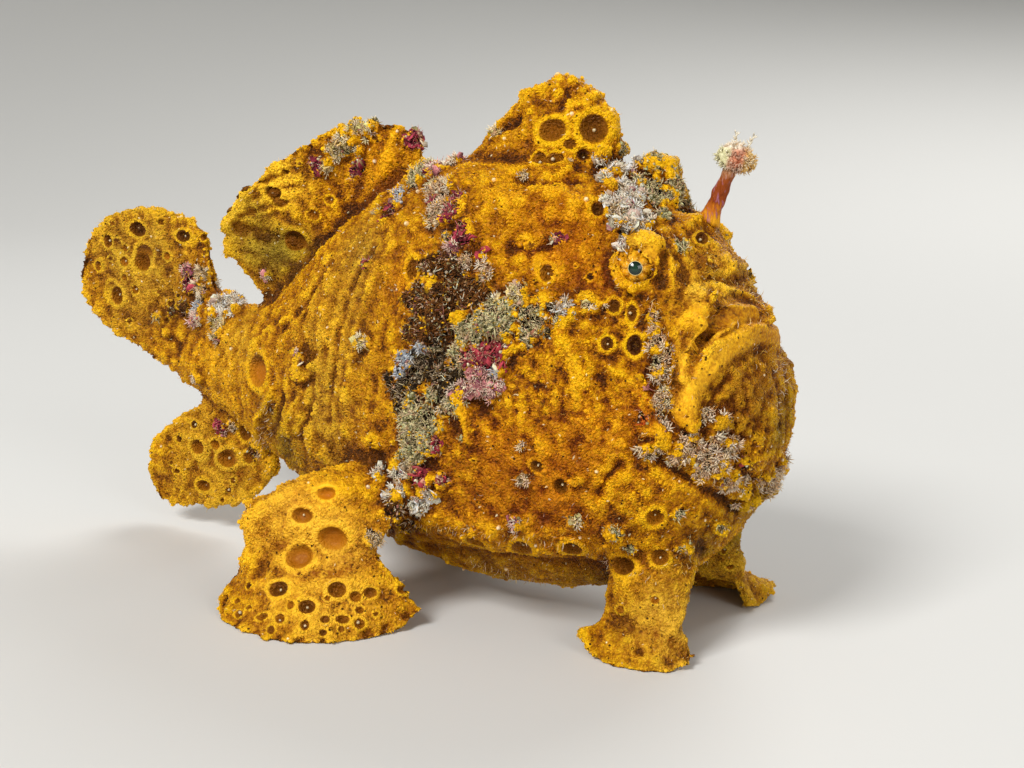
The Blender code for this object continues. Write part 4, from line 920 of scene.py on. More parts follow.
def skin_material():
    """Wet, spinuled frogfish skin: soft yellow over orange, brown in the pores, dull with small glints."""
    material, add = new_material("wet_spinuled_skin")
    place = add(PLACE, give="Object")
    relief, calm, pore, tone, rise, growth, tint_and_shade_amount = (
        add(ATTRIBUTE, give="Fac", attribute_name=name)
        for name in ("relief", "calm", "pore", "pore_tone", "pore_rise", "growth", "tint_and_shade_share"))
    tint_and_shade, crust_low, crust_high = (add(ATTRIBUTE, give="Color", attribute_name=name) for name in
                                    ("tint_and_shade", "growth_low", "growth_high"))
    # mottling 3 mm across, flecks 1.4 mm, grain 0.8 mm, and a weave of fibres 1.2 mm apart
    mottle, fleck, grain = (
        add(NOISE, {"Vector": place, "Scale": 1 / (size * MM), "Detail": 3, "Roughness": 0.6})
        for size in (3.0, 1.4, 0.8))
    weave = add(CELLS, {"Vector": place, "Scale": 1 / (1.2 * MM)}, feature="DISTANCE_TO_EDGE")
    # the level: high on lumps as painted light, low in hollows as painted shade, moved by mottling and
    # grain, and lifted on the rims of pores
    level = add(MATH, {0: relief, 1: RELIEF_SHADING, 2: SKIN_LEVEL - 0.95}, operation="MULTIPLY_ADD")
    level = add(MATH, {0: mottle, 1: 0.8, 2: level}, operation="MULTIPLY_ADD")
    level = add(MATH, {0: grain, 1: 1.1, 2: level}, operation="MULTIPLY_ADD")
    rim_in = add(RANGE, {0: pore, 1: 1.0, 2: 1.2, 3: 0.0, 4: 0.22})
    rim_out = add(RANGE, {0: pore, 1: 1.25, 2: 1.6, 3: 1.0, 4: 0.0})
    level = add(MATH, {0: rim_in, 1: rim_out, 2: level}, operation="MULTIPLY_ADD")
    yellow = add(RAMP, {0: level}, stops=FLESH_STOPS)
    # tints darken with the level in the hollows as painted shade and lighten on the lumps as painted light
    darkened = add(RANGE, {0: level, 1: TINT_SHADE_FROM, 2: TINT_SHADE_TO})
    shade = add(MIX, {0: darkened, 6: TINT_IN_SHADE + (1,), 7: TINT_IN_LIGHT + (1,)}, **COLOUR)
    shade = add(MIX, {0: 1.0, 6: tint_and_shade, 7: shade}, **COLOUR, blend_type="MULTIPLY")
    yellow = add(MIX, {0: tint_and_shade_amount, 6: yellow, 7: shade}, **COLOUR)
    # brown flecks, most of them in the hollows
    hollow = add(RANGE, {0: relief, 1: 0.3, 2: -0.6, 3: 0.2, 4: 1.0})
    fleck = add(MATH, {0: add(RANGE, {0: fleck, 1: 0.56, 2: 0.64}), 1: hollow}, operation="MULTIPLY")
    yellow = add(MIX, {0: fleck, 6: yellow, 7: linear("#5C360E")}, **COLOUR)
    # pits 0.6 mm wide and 2 mm apart, darkened as painted shade and sunk by the bump
    pit = add(RANGE, {0: add(CELLS, {"Vector": place, "Scale": 1 / (1.9 * MM)}), 1: 0.24, 2: 0.16})
    pit = add(MATH, {0: pit, 1: add(RANGE, {0: mottle, 1: 0.5, 2: 0.58})}, operation="MULTIPLY")
    yellow = add(MIX, {0: pit, 6: yellow, 7: linear("#4A2808")}, **COLOUR)
    # pores: deep brown or amber in the middle, lighter towards the rim
    deep = add(MIX, {0: tone, 6: linear("#B0660A"), 7: linear("#301604")}, **COLOUR)
    rim = add(MIX, {0: tone, 6: linear("#D68E10"), 7: linear("#743C06")}, **COLOUR)
    towards_rim = add(MATH, {0: add(RANGE, {0: pore, 1: 0.3, 2: 1.0}), 1: 2.0}, operation="POWER")
    floor = add(MIX, {0: towards_rim, 6: deep, 7: rim}, **COLOUR)
    speck = add(RANGE, {0: grain, 1: 0.55, 2: 0.75, 3: 0.0, 4: 0.4})
    floor = add(MIX, {0: speck, 6: floor, 7: linear("#C98A2A")}, **COLOUR)
    # the wall under the upper rim lies in its shade
    shaded = add(RANGE, {0: rise, 1: 0.1, 2: 0.75, 3: 0.0, 4: 0.75})
    floor = add(MIX, {0: shaded, 6: floor, 7: linear("#4E2606")}, **COLOUR)
    inside = add(RANGE, {0: pore, 1: 0.9, 2: 1.0, 3: 1.0, 4: 0.0})
    yellow = add(MIX, {0: inside, 6: yellow, 7: floor}, **COLOUR)
    # growths: crust darkened in its hollows as painted shade, and an edge that frays into the yellow
    crust = add(MIX, {0: add(RANGE, {0: grain, 1: 0.45, 2: 0.65}), 6: crust_low, 7: crust_high}, **COLOUR)
    shaded = add(RANGE, {0: relief, 1: 0.6, 2: -0.3, 3: 0.35, 4: 1.0})
    crust = add(MIX, {0: shaded, 6: crust, 7: linear("#20140A")}, **COLOUR)
    frayed = add(MATH, {0: mottle, 1: 1.2, 2: growth}, operation="MULTIPLY_ADD")
    colour = add(MIX, {0: add(RANGE, {0: frayed, 1: 0.95, 2: 1.2}), 6: yellow, 7: crust}, **COLOUR)
    height = add(MATH, {0: weave, 1: 2.4, 2: grain}, operation="MULTIPLY_ADD")
    height = add(MATH, {0: height, 1: pit}, operation="SUBTRACT")
    height = add(MATH, {0: height, 1: add(RANGE, {0: calm, 3: 1.0, 4: 0.12})}, operation="MULTIPLY")
    finished(add, colour, height, 0.7 * MM, Roughness=0.5, Specular_IOR_Level=0.12)
    return material


def coat_material(name, rough):
    """The same flesh or crust drawn out in small points, each with its own colour from root to tip."""
    material, add = new_material(name)
    place, tint = add(PLACE, give="Object"), add(ATTRIBUTE, give="Color", attribute_name="tint")
    # grain 0.7 mm across, coarser than the real one so that it shows
    grain = add(NOISE, {"Vector": place, "Scale": 1 / (0.7 * MM), "Detail": 2})
    grey = add(RANGE, {0: grain, 1: 0.25, 2: 0.75, 3: 0.75, 4: 1.25})
    colour = add(MIX, {0: 1.0, 6: tint, 7: grey}, **COLOUR, blend_type="MULTIPLY")
    finished(add, colour, grain, 0.3 * MM, Roughness=rough, Specular_IOR_Level=0.12)
    return material


dressed(skin, "skin", skin_material(), *FLESH)


# Coats of spinules, threads and crusts

def spike(base, tip, width, sides=4, middle=0.5, belly=0.9, curl=(0, 0, 0), shares=(0.0, 0.5)):
    """A pointed shape: its points, faces and how much of the tip's colour each ring of points has."""
    base, tip, curl = np.array(base, float), np.array(tip, float), np.array(curl, float)
    axis = unit(tip - base)
    side = unit(np.cross(axis, (0.31, 0.95, 0.05)))
    other = np.cross(axis, side)
    turn = np.arange(sides) * 2 * math.pi / sides
    ring = (np.cos(turn)[:, None] * side + np.sin(turn)[:, None] * other) * width / 2
    points = np.vstack((base + ring, base + (tip - base) * middle + curl + ring * belly, tip))
    faces = []
    for i in range(sides):
        j = (i + 1) % sides
        faces += [(i, j, sides + j), (i, sides + j, sides + i), (sides + i, sides + j, 2 * sides)]
    height = np.concatenate((np.full(sides, shares[0]), np.full(sides, shares[1]), [1.0]))
    return points, np.array(faces), height


def together(shapes):
    """Several shapes as one."""
    starts = np.cumsum([0] + [len(shape[0]) for shape in shapes[:-1]])
    return (np.vstack([shape[0] for shape in shapes]),
            np.vstack([shape[1] + start for shape, start in zip(shapes, starts)]),
            np.concatenate([shape[2] for shape in shapes]))


def crumb(draw):
    """An uneven lump of twenty faces."""
    draw = np.random.default_rng(SEED + draw)
    golden = (1 + 5 ** 0.5) / 2
    corners = [(-1, golden, 0), (1, golden, 0), (-1, -golden, 0), (1, -golden, 0), (0, -1, golden),
               (0, 1, golden), (0, -1, -golden), (0, 1, -golden), (golden, 0, -1), (golden, 0, 1),
               (-golden, 0, -1), (-golden, 0, 1)]
    faces = [(0, 11, 5), (0, 5, 1), (0, 1, 7), (0, 7, 10), (0, 10, 11), (1, 5, 9), (5, 11, 4), (11, 10, 2),
             (10, 7, 6), (7, 1, 8), (3, 9, 4), (3, 4, 2), (3, 2, 6), (3, 6, 8), (3, 8, 9), (4, 9, 5),
             (2, 4, 11), (6, 2, 10), (8, 6, 7), (9, 8, 1)]
    points = unit(np.array(corners)) * 0.5 * draw.uniform(0.6, 1.35, (12, 1))
    # dark at the bottom by the skin and light at the top: painted shade and light
    return points, np.array(faces), np.clip(points[:, 2] + 0.5, 0, 1)


def plate(draw):
    """A thin, bent scale of crust that stands on its edge, of six corners."""
    draw = np.random.default_rng(SEED + draw)
    turn = np.arange(6) * math.pi / 3
    rim = np.column_stack((np.cos(turn), np.sin(turn), np.zeros(6))) * 0.5 * draw.uniform(0.7, 1.2, (6, 1))
    rim[:, 2] = 0.12 * np.sin(2 * turn) + 0.35 * rim[:, 0]
    points = np.vstack((rim + (0, 0, 0.05), rim - (0, 0, 0.05), [(0, 0, 0.02)], [(0, 0, -0.08)]))
    faces = []
    for i in range(6):
        j = (i + 1) % 6
        faces += [(i, j, 12), (j + 6, i + 6, 13), (i, i + 6, j + 6), (i, j + 6, j)]
    # dark at the edge that dips towards the skin and light at the raised edge: painted shade and light
    return points, np.array(faces), np.clip(points[:, 0] + 0.5, 0, 1)


SPINULE = spike((0, 0, -0.2), (1.05, 0, 0.62), 0.95, 3, 0.5, 0.85, (-0.1, 0, 0.12))
PRICKLE = (
    np.array([(-0.4, 0, -0.1), (0.2, -0.5, -0.25), (0.2, 0.5, -0.25), (0.95, 0, 0.35), (0.1, 0, 0.5)]),
    np.array([(0, 1, 4), (2, 0, 4), (1, 3, 4), (3, 2, 4)]), np.array([0, 0.1, 0.1, 1, 0.8]))
WART = spike((0, 0, -0.25), (0.15, 0, 0.62), 1.0, 5, 0.72, 0.8)
THREAD = spike((0, 0, -0.06), (0.55, 0.1, 0.95), 0.1, 3, 0.5, 0.75, (-0.12, 0.05, 0.05))
CRUMBS = [crumb(50 + i) for i in range(4)]
PLATES = [plate(60 + i) for i in range(3)]


def tuft(draw, count, width, reach):
    """Thin, bent threads that spread from one root, dark at the root as painted shade and pale for most of
    their length.
    """
    draw = np.random.default_rng(SEED + draw)
    threads = []
    for i in range(count):
        turn = 2 * math.pi * (i + draw.uniform(-0.3, 0.3)) / count
        slant = draw.uniform(0.15, 1.0)
        tip = np.array((math.cos(turn) * slant, math.sin(turn) * slant, draw.uniform(0.6, 1.0)))
        tip = tip * reach * draw.uniform(0.6, 1.0)
        threads.append(spike((0, 0, -0.1), tip, width, 3, 0.55, 0.85, draw.normal(0, 0.09, 3), (0.05, 0.8)))
    return together(threads)


TWIGS = [tuft(70, 3, 0.16, 1.1), tuft(71, 3, 0.15, 1.1)]
POLYPS = [tuft(72, 9, 0.17, 0.9), tuft(73, 8, 0.19, 0.85)]
# a stem with six barbs that turn round it
STEM = spike((0, 0, -0.15), (0.05, 0, 1), 0.16, 4, 0.5, 0.8, (0.08, 0.05, 0), (0.1, 0.7))
FILAMENT = together([STEM] + [
    spike((0.04, 0.03, at), (0.04 + 0.3 * math.cos(9 * at), 0.3 * math.sin(9 * at), at + 0.22),
          0.12, 3, 0.5, 0.9, (0, 0, 0), (0.5, 0.9)) for at in (0.3, 0.45, 0.55, 0.68, 0.78, 0.88)])


def skin_triangles():
    mesh = skin.data
    mesh.calc_loop_triangles()
    corners = np.empty(len(mesh.loop_triangles) * 3, np.int32)
    mesh.loop_triangles.foreach_get("vertices", corners)
    return corners.reshape(-1, 3)


TRIANGLES = skin_triangles()
SKIN_SURFACE = surface_of(skin)


def rooted(spacing, draw, chance=None):
    """Roots spread over the skin about that far apart, with the skin's marks. chance thins them out."""
    draw = np.random.default_rng(SEED + draw)
    a, b, c = (MARKS["place"][TRIANGLES[:, i]] for i in range(3))
    area = np.linalg.norm(np.cross(b - a, c - a), axis=1) / 2
    if chance is not None:
        area = area * chance[TRIANGLES].max(axis=1)
    count = int(2.6 * area.sum() / spacing ** 2)
    face = np.searchsorted(np.cumsum(area), draw.random(count) * area.sum()).clip(0, len(area) - 1)
    first, second = draw.random(count), draw.random(count)
    over = first + second > 1
    first[over], second[over] = 1 - first[over], 1 - second[over]
    share = np.column_stack((1 - first - second, first, second))
    corners = TRIANGLES[face]
    place = (MARKS["place"][corners] * share[..., None]).sum(axis=1)
    _, kept = np.unique(np.floor(place / spacing).astype(np.int64) @ (1, 4001, 16008001), return_index=True)
    roots = {}
    for name, values in MARKS.items():
        if name == "growth_kind":
            roots[name] = values[corners[kept, 0]]
        elif values.ndim == 2:
            roots[name] = (values[corners[kept]] * share[kept][..., None]).sum(axis=1)
        else:
            roots[name] = (values[corners[kept]] * share[kept]).sum(axis=1)
    return roots


def picked(roots, keep):
    return {name: values[keep] for name, values in roots.items()}


def lie_of(roots, draw, wander=0.4):
    """The way that the coat lies: towards the tail and down, out along the fins and down the limbs."""
    place = roots["place"] / MM
    lie = np.tile((-1.0, 0.0, -0.35), (len(place), 1))
    limb = step_up(45, 25, place[:, 2])
    lie = blend(lie, np.array((-0.2, 0.0, -1.0)), limb)
    return unit(lie + draw.normal(0, wander, (len(place), 3)))


def planted(shape, roots, lie, sizes, low, high):
    """One shape at every root, as arrays of points, faces, colours and roots."""
    up = unit(roots["up"])
    ahead = unit(lie - up * (lie * up).sum(axis=1)[:, None])
    across = np.cross(up, ahead)
    points, faces, height = shape
    scaled = points[None] * sizes[:, None, :]
    placed = (roots["place"][:, None] + scaled[..., :1] * ahead[:, None]
              + scaled[..., 1:2] * across[:, None] + scaled[..., 2:] * up[:, None])
    placed[..., 2] = np.maximum(placed[..., 2], 0.0)
    count, each = len(up), len(points)
    spots = points[:, :2] - points[:, :2].min(axis=0)
    spots = spots / max(spots.max(), 1e-9) - 0.5
    # each shape runs from the low colour at its root to the high colour at its tip; a darker root stands as
    # painted shade
    tint = blend(low[:, None], high[:, None], np.broadcast_to(height, (count, each)))
    return {"points": placed.reshape(-1, 3),
            "faces": (faces[None] + np.arange(count)[:, None, None] * each).reshape(-1, 3),
            "tint": tint.reshape(-1, 3),
            "root": np.repeat(roots["place"], each, axis=0),
            "patch": np.tile(spots, (count, 1))}


def unwrap_guide():
    """A coarse copy of the skin, unwrapped, that tells each root its place on the map."""
    guide = bpy.data.objects.new("guide", skin.data.copy())
    bpy.context.scene.collection.objects.link(guide)
    applied(guide, "REMESH", mode="VOXEL", voxel_size=GUIDE_GRAIN)
    applied(guide, "TRIANGULATE")
    bpy.ops.object.mode_set(mode="EDIT")
    bpy.ops.mesh.select_all(action="SELECT")
    bpy.ops.uv.smart_project(angle_limit=math.radians(70), island_margin=0.002)
    bpy.ops.object.mode_set(mode="OBJECT")
    mesh = guide.data
    corners = np.array([tuple(face.vertices) for face in mesh.polygons])
    maps = np.empty(len(mesh.loops) * 2, np.float32)
    mesh.uv_layers.active.data.foreach_get("uv", maps)
    result = points_of(guide), corners, maps.reshape(-1, 3, 2), surface_of(guide)
    bpy.data.objects.remove(guide)
    return result


GUIDE_POINTS, GUIDE_CORNERS, GUIDE_MAP, GUIDE_SURFACE = unwrap_guide()


def map_places(places):
    """Where places on the skin lie on the guide's map."""
    found = [GUIDE_SURFACE.find_nearest(place) for place in places]
    face = np.array([hit[2] for hit in found])
    spot = np.array([tuple(hit[0]) for hit in found])
    a, b, c = (GUIDE_POINTS[GUIDE_CORNERS[face, i]] for i in range(3))
    whole = np.cross(b - a, c - a)
    size = (whole ** 2).sum(axis=1)
    second = (np.cross(spot - a, c - a) * whole).sum(axis=1) / size
    third = (np.cross(b - a, spot - a) * whole).sum(axis=1) / size
    share = np.column_stack((1 - second - third, second, third))
    return (GUIDE_MAP[face] * share[..., None]).sum(axis=1)


def coat_piece(name, parts, material, slot="flesh"):
    """Joins planted shapes as one piece with its colours and its bake map."""
    starts = np.cumsum([0] + [len(part["points"]) for part in parts[:-1]])
    points = np.vstack([part["points"] for part in parts])
    faces = np.vstack([part["faces"] + start for part, start in zip(parts, starts)])
    mesh = bpy.data.meshes.new(name)
    mesh.vertices.add(len(points))
    mesh.vertices.foreach_set("co", points.astype(np.float32).ravel())
    mesh.loops.add(faces.size)
    mesh.loops.foreach_set("vertex_index", faces.astype(np.int32).ravel())
    mesh.polygons.add(len(faces))
    mesh.polygons.foreach_set("loop_start", np.arange(0, faces.size, 3, dtype=np.int32))
    mesh.polygons.foreach_set("use_smooth", np.ones(len(faces), bool))
    mesh.update(calc_edges=True)
    piece = bpy.data.objects.new(name, mesh)
    bpy.context.scene.collection.objects.link(piece)
    store(piece, "tint", np.vstack([part["tint"] for part in parts]))
    roots = np.vstack([part["root"] for part in parts])
    places, where = np.unique(roots, axis=0, return_inverse=True)
    bake = map_places(places)[where.ravel()] + np.vstack([part["patch"] for part in parts]) * PATCH
    layer = mesh.uv_layers.new(name="OFBake")
    layer.data.foreach_set("uv", bake[faces.ravel()].astype(np.float32).ravel())
    return dressed(piece, name, material, slot=slot)


def yellow_of(roots, shift):
    """The flesh's colour at each root, with its tints; it is darker in the hollows as painted shade and
    lighter on the lumps as painted light.
    """
    uneven_by = 0.17 * soft_noise(roots["place"] / MM, 2.0, 24)
    level = SKIN_LEVEL + RELIEF_SHADING * roots["relief"] + uneven_by + shift
    darkened = np.clip((level - TINT_SHADE_FROM) / (TINT_SHADE_TO - TINT_SHADE_FROM), 0, 1)
    shade = roots["tint_and_shade"] * blend(np.array(TINT_IN_SHADE), np.array(TINT_IN_LIGHT), darkened)
    return blend(flesh_colour(level), shade, roots["tint_and_shade_share"])


def crust_colours(roots, draw):
    """Low and high colours of crust bits: mostly their own growth's, with strays of every other."""
    count = len(roots["place"])
    low, high = roots["growth_low"].copy(), roots["growth_high"].copy()
    plain = draw.random(count) < 0.22
    high[plain] = blend(low[plain], high[plain], 0.35)
    stray = draw.random(count) < 0.18
    others = np.array([paint(code) for code in STRAY_COLOURS])
    low[stray] = others[draw.integers(0, len(others), stray.sum())]
    high[stray] = blend(low[stray], np.ones(3) * 0.8, 0.2)
    shade = draw.uniform(0.6, 1.15, count)[:, None]
    pale = np.isin(roots["growth_kind"], PALE_KINDS)[:, None]
    # the roots are darkened to 0.4 as painted shade
    return low * shade * 0.4, np.minimum(high * shade * np.where(pale, COOL, WARM), 0.92)


def uneven(draw, count, low, high, least):
    """Sizes from low to high in mm, drawn out unevenly along their three axes by least to 1.2."""
    return draw.uniform(low, high, (count, 1)) * draw.uniform(least, 1.2, (count, 3)) * MM


def shortened(length, tall):
    """Sizes of that length in mm, each with its own share of it in height."""
    return length[:, None] * np.column_stack((np.ones(len(tall)), np.ones(len(tall)), tall)) * MM


def any_way(draw, count):
    return unit(draw.normal(0, 1, (count, 3)))


def tilted(roots, draw, wander):
    roots["up"] = unit(roots["up"] + draw.normal(0, wander, roots["up"].shape))


def mixed(shapes, kind, roots, *each):
    """At every root the one of the shapes that its kind gives. each holds a row for every root."""
    return [planted(shape, picked(roots, kind == number), *(rows[kind == number] for rows in each))
            for number, shape in enumerate(shapes)]


def crusted(roots, keep, off_floor, calm=2.0):
    """Those roots to keep that are off the pores, that high over the floor in mm and not too calm."""
    keep = keep & (roots["pore"] > 1.0) & (roots["place"][:, 2] > off_floor * MM)
    return picked(roots, keep & (roots["calm"] < calm))


def spinules(draw, material):
    """The fine coat all over: rounded spinules and sharper prickles, smaller on the face and the feet."""
    roots = rooted(APART["spinules"] * MM, 71)
    keep = (roots["pore"] > 1.05) & (draw.random(len(roots["pore"])) > roots["calm"] * 1.1)
    keep &= (draw.random(len(keep)) > roots["growth"] * 0.9) & (roots["place"][:, 2] > 0.8 * MM)
    roots = picked(roots, keep)
    count = len(roots["pore"])
    place = roots["place"] / MM
    face = step_up(75, 100, place[:, 0]) * step_up(60, 80, place[:, 2])
    foot = step_up(30, 12, place[:, 2])
    size = draw.uniform(0.62, 1.08, count) * (1 - 0.3 * np.maximum(face, foot))
    spread = [draw.uniform(low, high, count) for low, high in ((0.8, 1.15), (0.7, 0.95), (0.35, 0.75))]
    sizes = size[:, None] * np.column_stack(spread) * MM
    tilted(roots, draw, 0.12)
    lie = lie_of(roots, draw, 0.8)
    shift = draw.normal(0, 0.055, count)
    # darker at the root, as painted shade, and lighter at the tip
    low, high = yellow_of(roots, shift - 0.09), yellow_of(roots, shift + 0.07)
    pale = draw.random(count) < 0.015
    high[pale] = blend(high[pale], paint("#FBEFC0"), 0.7)
    rounded = draw.random(count) < 0.45
    order = np.argsort(place[:, 0])
    for place_name, part in zip(("tail", "rump", "flank", "shoulder", "head"), np.array_split(order, 5)):
        shapes = []
        for shape, chosen in ((SPINULE, rounded), (PRICKLE, ~rounded)):
            some = part[chosen[part]]
            each = (values[some] for values in (lie, sizes, low, high))
            shapes.append(planted(shape, picked(roots, some), *each))
        coat_piece("spinules_" + place_name, shapes, material)


def warts(draw, material):
    """Bigger soft warts on the tops of lumps and along the edges of the fins."""
    roots = rooted(APART["warts"] * MM, 73)
    keep = (roots["pore"] > 1.3) & (roots["growth"] < 0.3) & (roots["place"][:, 2] > 0.5 * MM)
    keep &= draw.random(len(keep)) > 0.88 - 0.25 * roots["relief"] - 0.5 * roots["edge"] + roots["calm"]
    roots = picked(roots, keep)
    count = len(roots["pore"])
    size = draw.uniform(1.0, 1.9, count) * (1 - 0.25 * step_up(75, 100, roots["place"][:, 0] / MM))
    wide, tall = draw.uniform(0.8, 1.1, count), draw.uniform(0.5, 0.95, count)
    spread = np.column_stack((np.ones(count), wide, tall))
    shift = draw.normal(0, 0.06, count)
    # darker at the root, as painted shade, and lighter at the tip
    low, high = yellow_of(roots, shift - 0.1), yellow_of(roots, shift + 0.14)
    pale = draw.random(count) < 0.05 + 0.25 * roots["edge"]
    high[pale] = blend(high[pale], paint("#FBF0CC"), 0.75)
    planted_warts = planted(WART, roots, lie_of(roots, draw), size[:, None] * spread * MM, low, high)
    coat_piece("warts", [planted_warts], material)


def papillae(draw, material):
    """A small papilla, pale on top, in the middle of most of the bigger pores; its pale top also serves as
    a painted highlight, the glint in the pore.
    """
    middles = [ring for ring in RINGS if ring[4] > 1.5 * MM and ring[5] > 0.2 and draw.random() < 0.55]
    found = [SKIN_SURFACE.find_nearest(ring[0]) for ring in middles]
    roots = {"place": np.array([hit[0] for hit in found]), "up": np.array([hit[1] for hit in found])}
    count = len(middles)
    sizes = uneven(draw, count, 0.7, 1.3, 0.7)
    low, high = (np.tile(paint(code), (count, 1)) for code in ("#7A4A14", "#D8C49A"))
    crumbs = planted(CRUMBS[0], roots, any_way(draw, count), sizes, low, high)
    coat_piece("pore_papillae_and_glints", [crumbs], material)


def crust_crumbs(draw, material):
    """The floor of each growth: crumbs close together, with strays round it."""
    roots = rooted(APART["crumbs"] * MM, 74, np.clip(MARKS["growth"] + 0.003, 0, 1))
    keep = draw.random(len(roots["pore"])) < roots["growth"] * 1.1 + 0.005
    roots = crusted(roots, keep, 1.0, 0.5)
    low, high = crust_colours(roots, draw)
    count = len(low)
    sizes = uneven(draw, count, 0.45, 1.3, 0.7)
    kind = draw.integers(0, len(CRUMBS), count)
    parts = mixed(CRUMBS, kind, roots, any_way(draw, count), sizes, low, high * 0.62)
    half = len(parts) // 2
    coat_piece("crust_crumbs_a", parts[:half], material)
    coat_piece("crust_crumbs_b", parts[half:], material)


def crust_twigs(draw, material):
    """Small branching tufts over the crumbs."""
    roots = rooted(APART["twigs"] * MM, 76, np.clip(MARKS["growth"] + 0.01, 0, 1))
    twiggy = np.array(TWIGGY)[roots["growth_kind"]]
    keep = draw.random(len(roots["pore"])) < roots["growth"] * twiggy + 0.012
    roots = crusted(roots, keep, 2.0, 0.4)
    low, high = crust_colours(roots, draw)
    count = len(low)
    creamy = draw.uniform(0.0, 0.6, count) * ~np.isin(roots["growth_kind"], PLAIN_KINDS)
    high = blend(high, paint("#FFE2B8"), creamy)
    length = draw.uniform(0.9, 2.7, count) * (0.55 + 0.45 * roots["growth"])
    sizes = shortened(length, draw.uniform(0.6, 1.0, count))
    tilted(roots, draw, 0.35)
    kind = draw.integers(0, len(TWIGS), count)
    parts = mixed(TWIGS, kind, roots, any_way(draw, count), sizes, low, high)
    for part, name in zip(parts, ("crust_twigs_a", "crust_twigs_b")):
        coat_piece(name, [part], material)


def crust_plates(draw, material):
    """Thin scales of crust that stand up from the red, pink and white growths."""
    roots = rooted(APART["plates"] * MM, 78, np.clip(MARKS["growth"], 0, 1))
    roots = crusted(roots, np.isin(roots["growth_kind"], PLATED_KINDS) & (roots["growth"] > 0.35), 2.0)
    low, high = crust_colours(roots, draw)
    count = len(low)
    sizes = uneven(draw, count, 1.8, 3.8, 0.8)
    tilted(roots, draw, 0.45)
    kind = draw.integers(0, len(PLATES), count)
    coat_piece("crust_plates", mixed(PLATES, kind, roots, any_way(draw, count), sizes, low, high), material)


def crust_polyps(draw, material):
    """Polyps like small pale stars on the lighter growths."""
    roots = rooted(APART["polyps"] * MM, 79, np.clip(MARKS["growth"], 0, 1))
    roots = crusted(roots, np.isin(roots["growth_kind"], POLYP_KINDS) & (roots["growth"] > 0.25), 2.0, 0.4)
    low, high = crust_colours(roots, draw)
    count = len(low)
    high = blend(high, paint("#FFF0D6"), draw.uniform(0.3, 0.9, count))
    sizes = uneven(draw, count, 1.5, 2.8, 0.8)
    lie = any_way(draw, count)
    kind = draw.integers(0, len(POLYPS), count)
    coat_piece("crust_polyps", mixed(POLYPS, kind, roots, lie, sizes, low, high), material)


def threads(draw, material):
    """A thin pale down everywhere, thick on fringes and round the growths."""
    around = np.clip(MARKS["fringe"] + 0.5 * MARKS["edge"] + 0.5 * MARKS["growth"] + 0.06, 0, 1)
    roots = rooted(APART["threads"] * MM, 80, around)
    wish = np.clip(roots["fringe"] + 0.5 * roots["edge"] + 0.45 * roots["growth"] + 0.06, 0, 1)
    keep = (draw.random(len(wish)) < wish * 0.75) & (draw.random(len(wish)) > roots["calm"] * 0.8)
    roots = crusted(roots, keep, 0.6)
    count = len(roots["pore"])
    length = draw.uniform(0.9, 1.9, count) * (1 + 0.5 * roots["fringe"])
    sizes = shortened(length, draw.uniform(0.7, 1.1, count))
    tilted(roots, draw, 0.4)
    low = yellow_of(roots, draw.normal(0.05, 0.1, count))
    pale = np.array([paint(code) for code in ("#F0D690", "#E4BC5C", "#ECD0B8", "#F4ECD8", "#D0A040")])
    high = pale[draw.integers(0, len(pale), count)]
    low = blend(low, high, 0.35)
    coat_piece("threads", [planted(THREAD, roots, lie_of(roots, draw, 0.8), sizes, low, high)], material)


def coats():
    draw = np.random.default_rng(SEED + 70)
    flesh = coat_material("skin_spinules", 0.5)
    crust = coat_material("coralline_crust", 0.75)
    down = coat_material("turf_threads", 0.6)
    for coat in (spinules, warts, papillae):
        coat(draw, flesh)
    for coat in (crust_crumbs, crust_twigs, crust_plates, crust_polyps):
        coat(draw, crust)
    threads(draw, down)


coats()


# Eyes

def eyeball(name, side, cornea):
    """A wet eye: a dark green pupil in a pale ring, in an iris of yellow petals."""
    low, high = (np.array(corner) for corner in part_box(name))
    centre, radius = (low + high) / 2, (high - low).max() / 2
    bpy.ops.mesh.primitive_uv_sphere_add(segments=160, ring_count=80, radius=1)
    eye = bpy.context.object
    points = points_of(eye)
    tilt = np.arccos(np.clip(points[:, 2], -1, 1))
    around = np.arctan2(points[:, 1], points[:, 0])
    petals = np.cos(7 * around + 0.5 * np.sin(2 * around))
    iris = step_up(0.46, 0.6, tilt) * step_up(1.35, 1.0, tilt)
    pupil, ring = np.exp(-(tilt / 0.42) ** 2), np.exp(-((tilt - 0.4) / 0.04) ** 2)
    bulge = 1 + 0.08 * pupil + 0.03 * ring + 0.03 * iris * petals
    ahead = np.array(unit(np.array(GAZE) * (1, side, 1)))
    across = unit(np.cross((0, 0, 1), ahead))
    turned = np.column_stack((across, np.cross(ahead, across), ahead))
    set_points(eye, (points * (bulge * radius)[:, None]) @ turned.T + centre)
    store(eye, "tilt", tilt)
    store(eye, "petals", petals)
    select_only(eye)
    bpy.ops.object.shade_smooth()
    dressed(eye, name + "_ball", cornea, name, slot="eye")
    return centre, radius, ahead


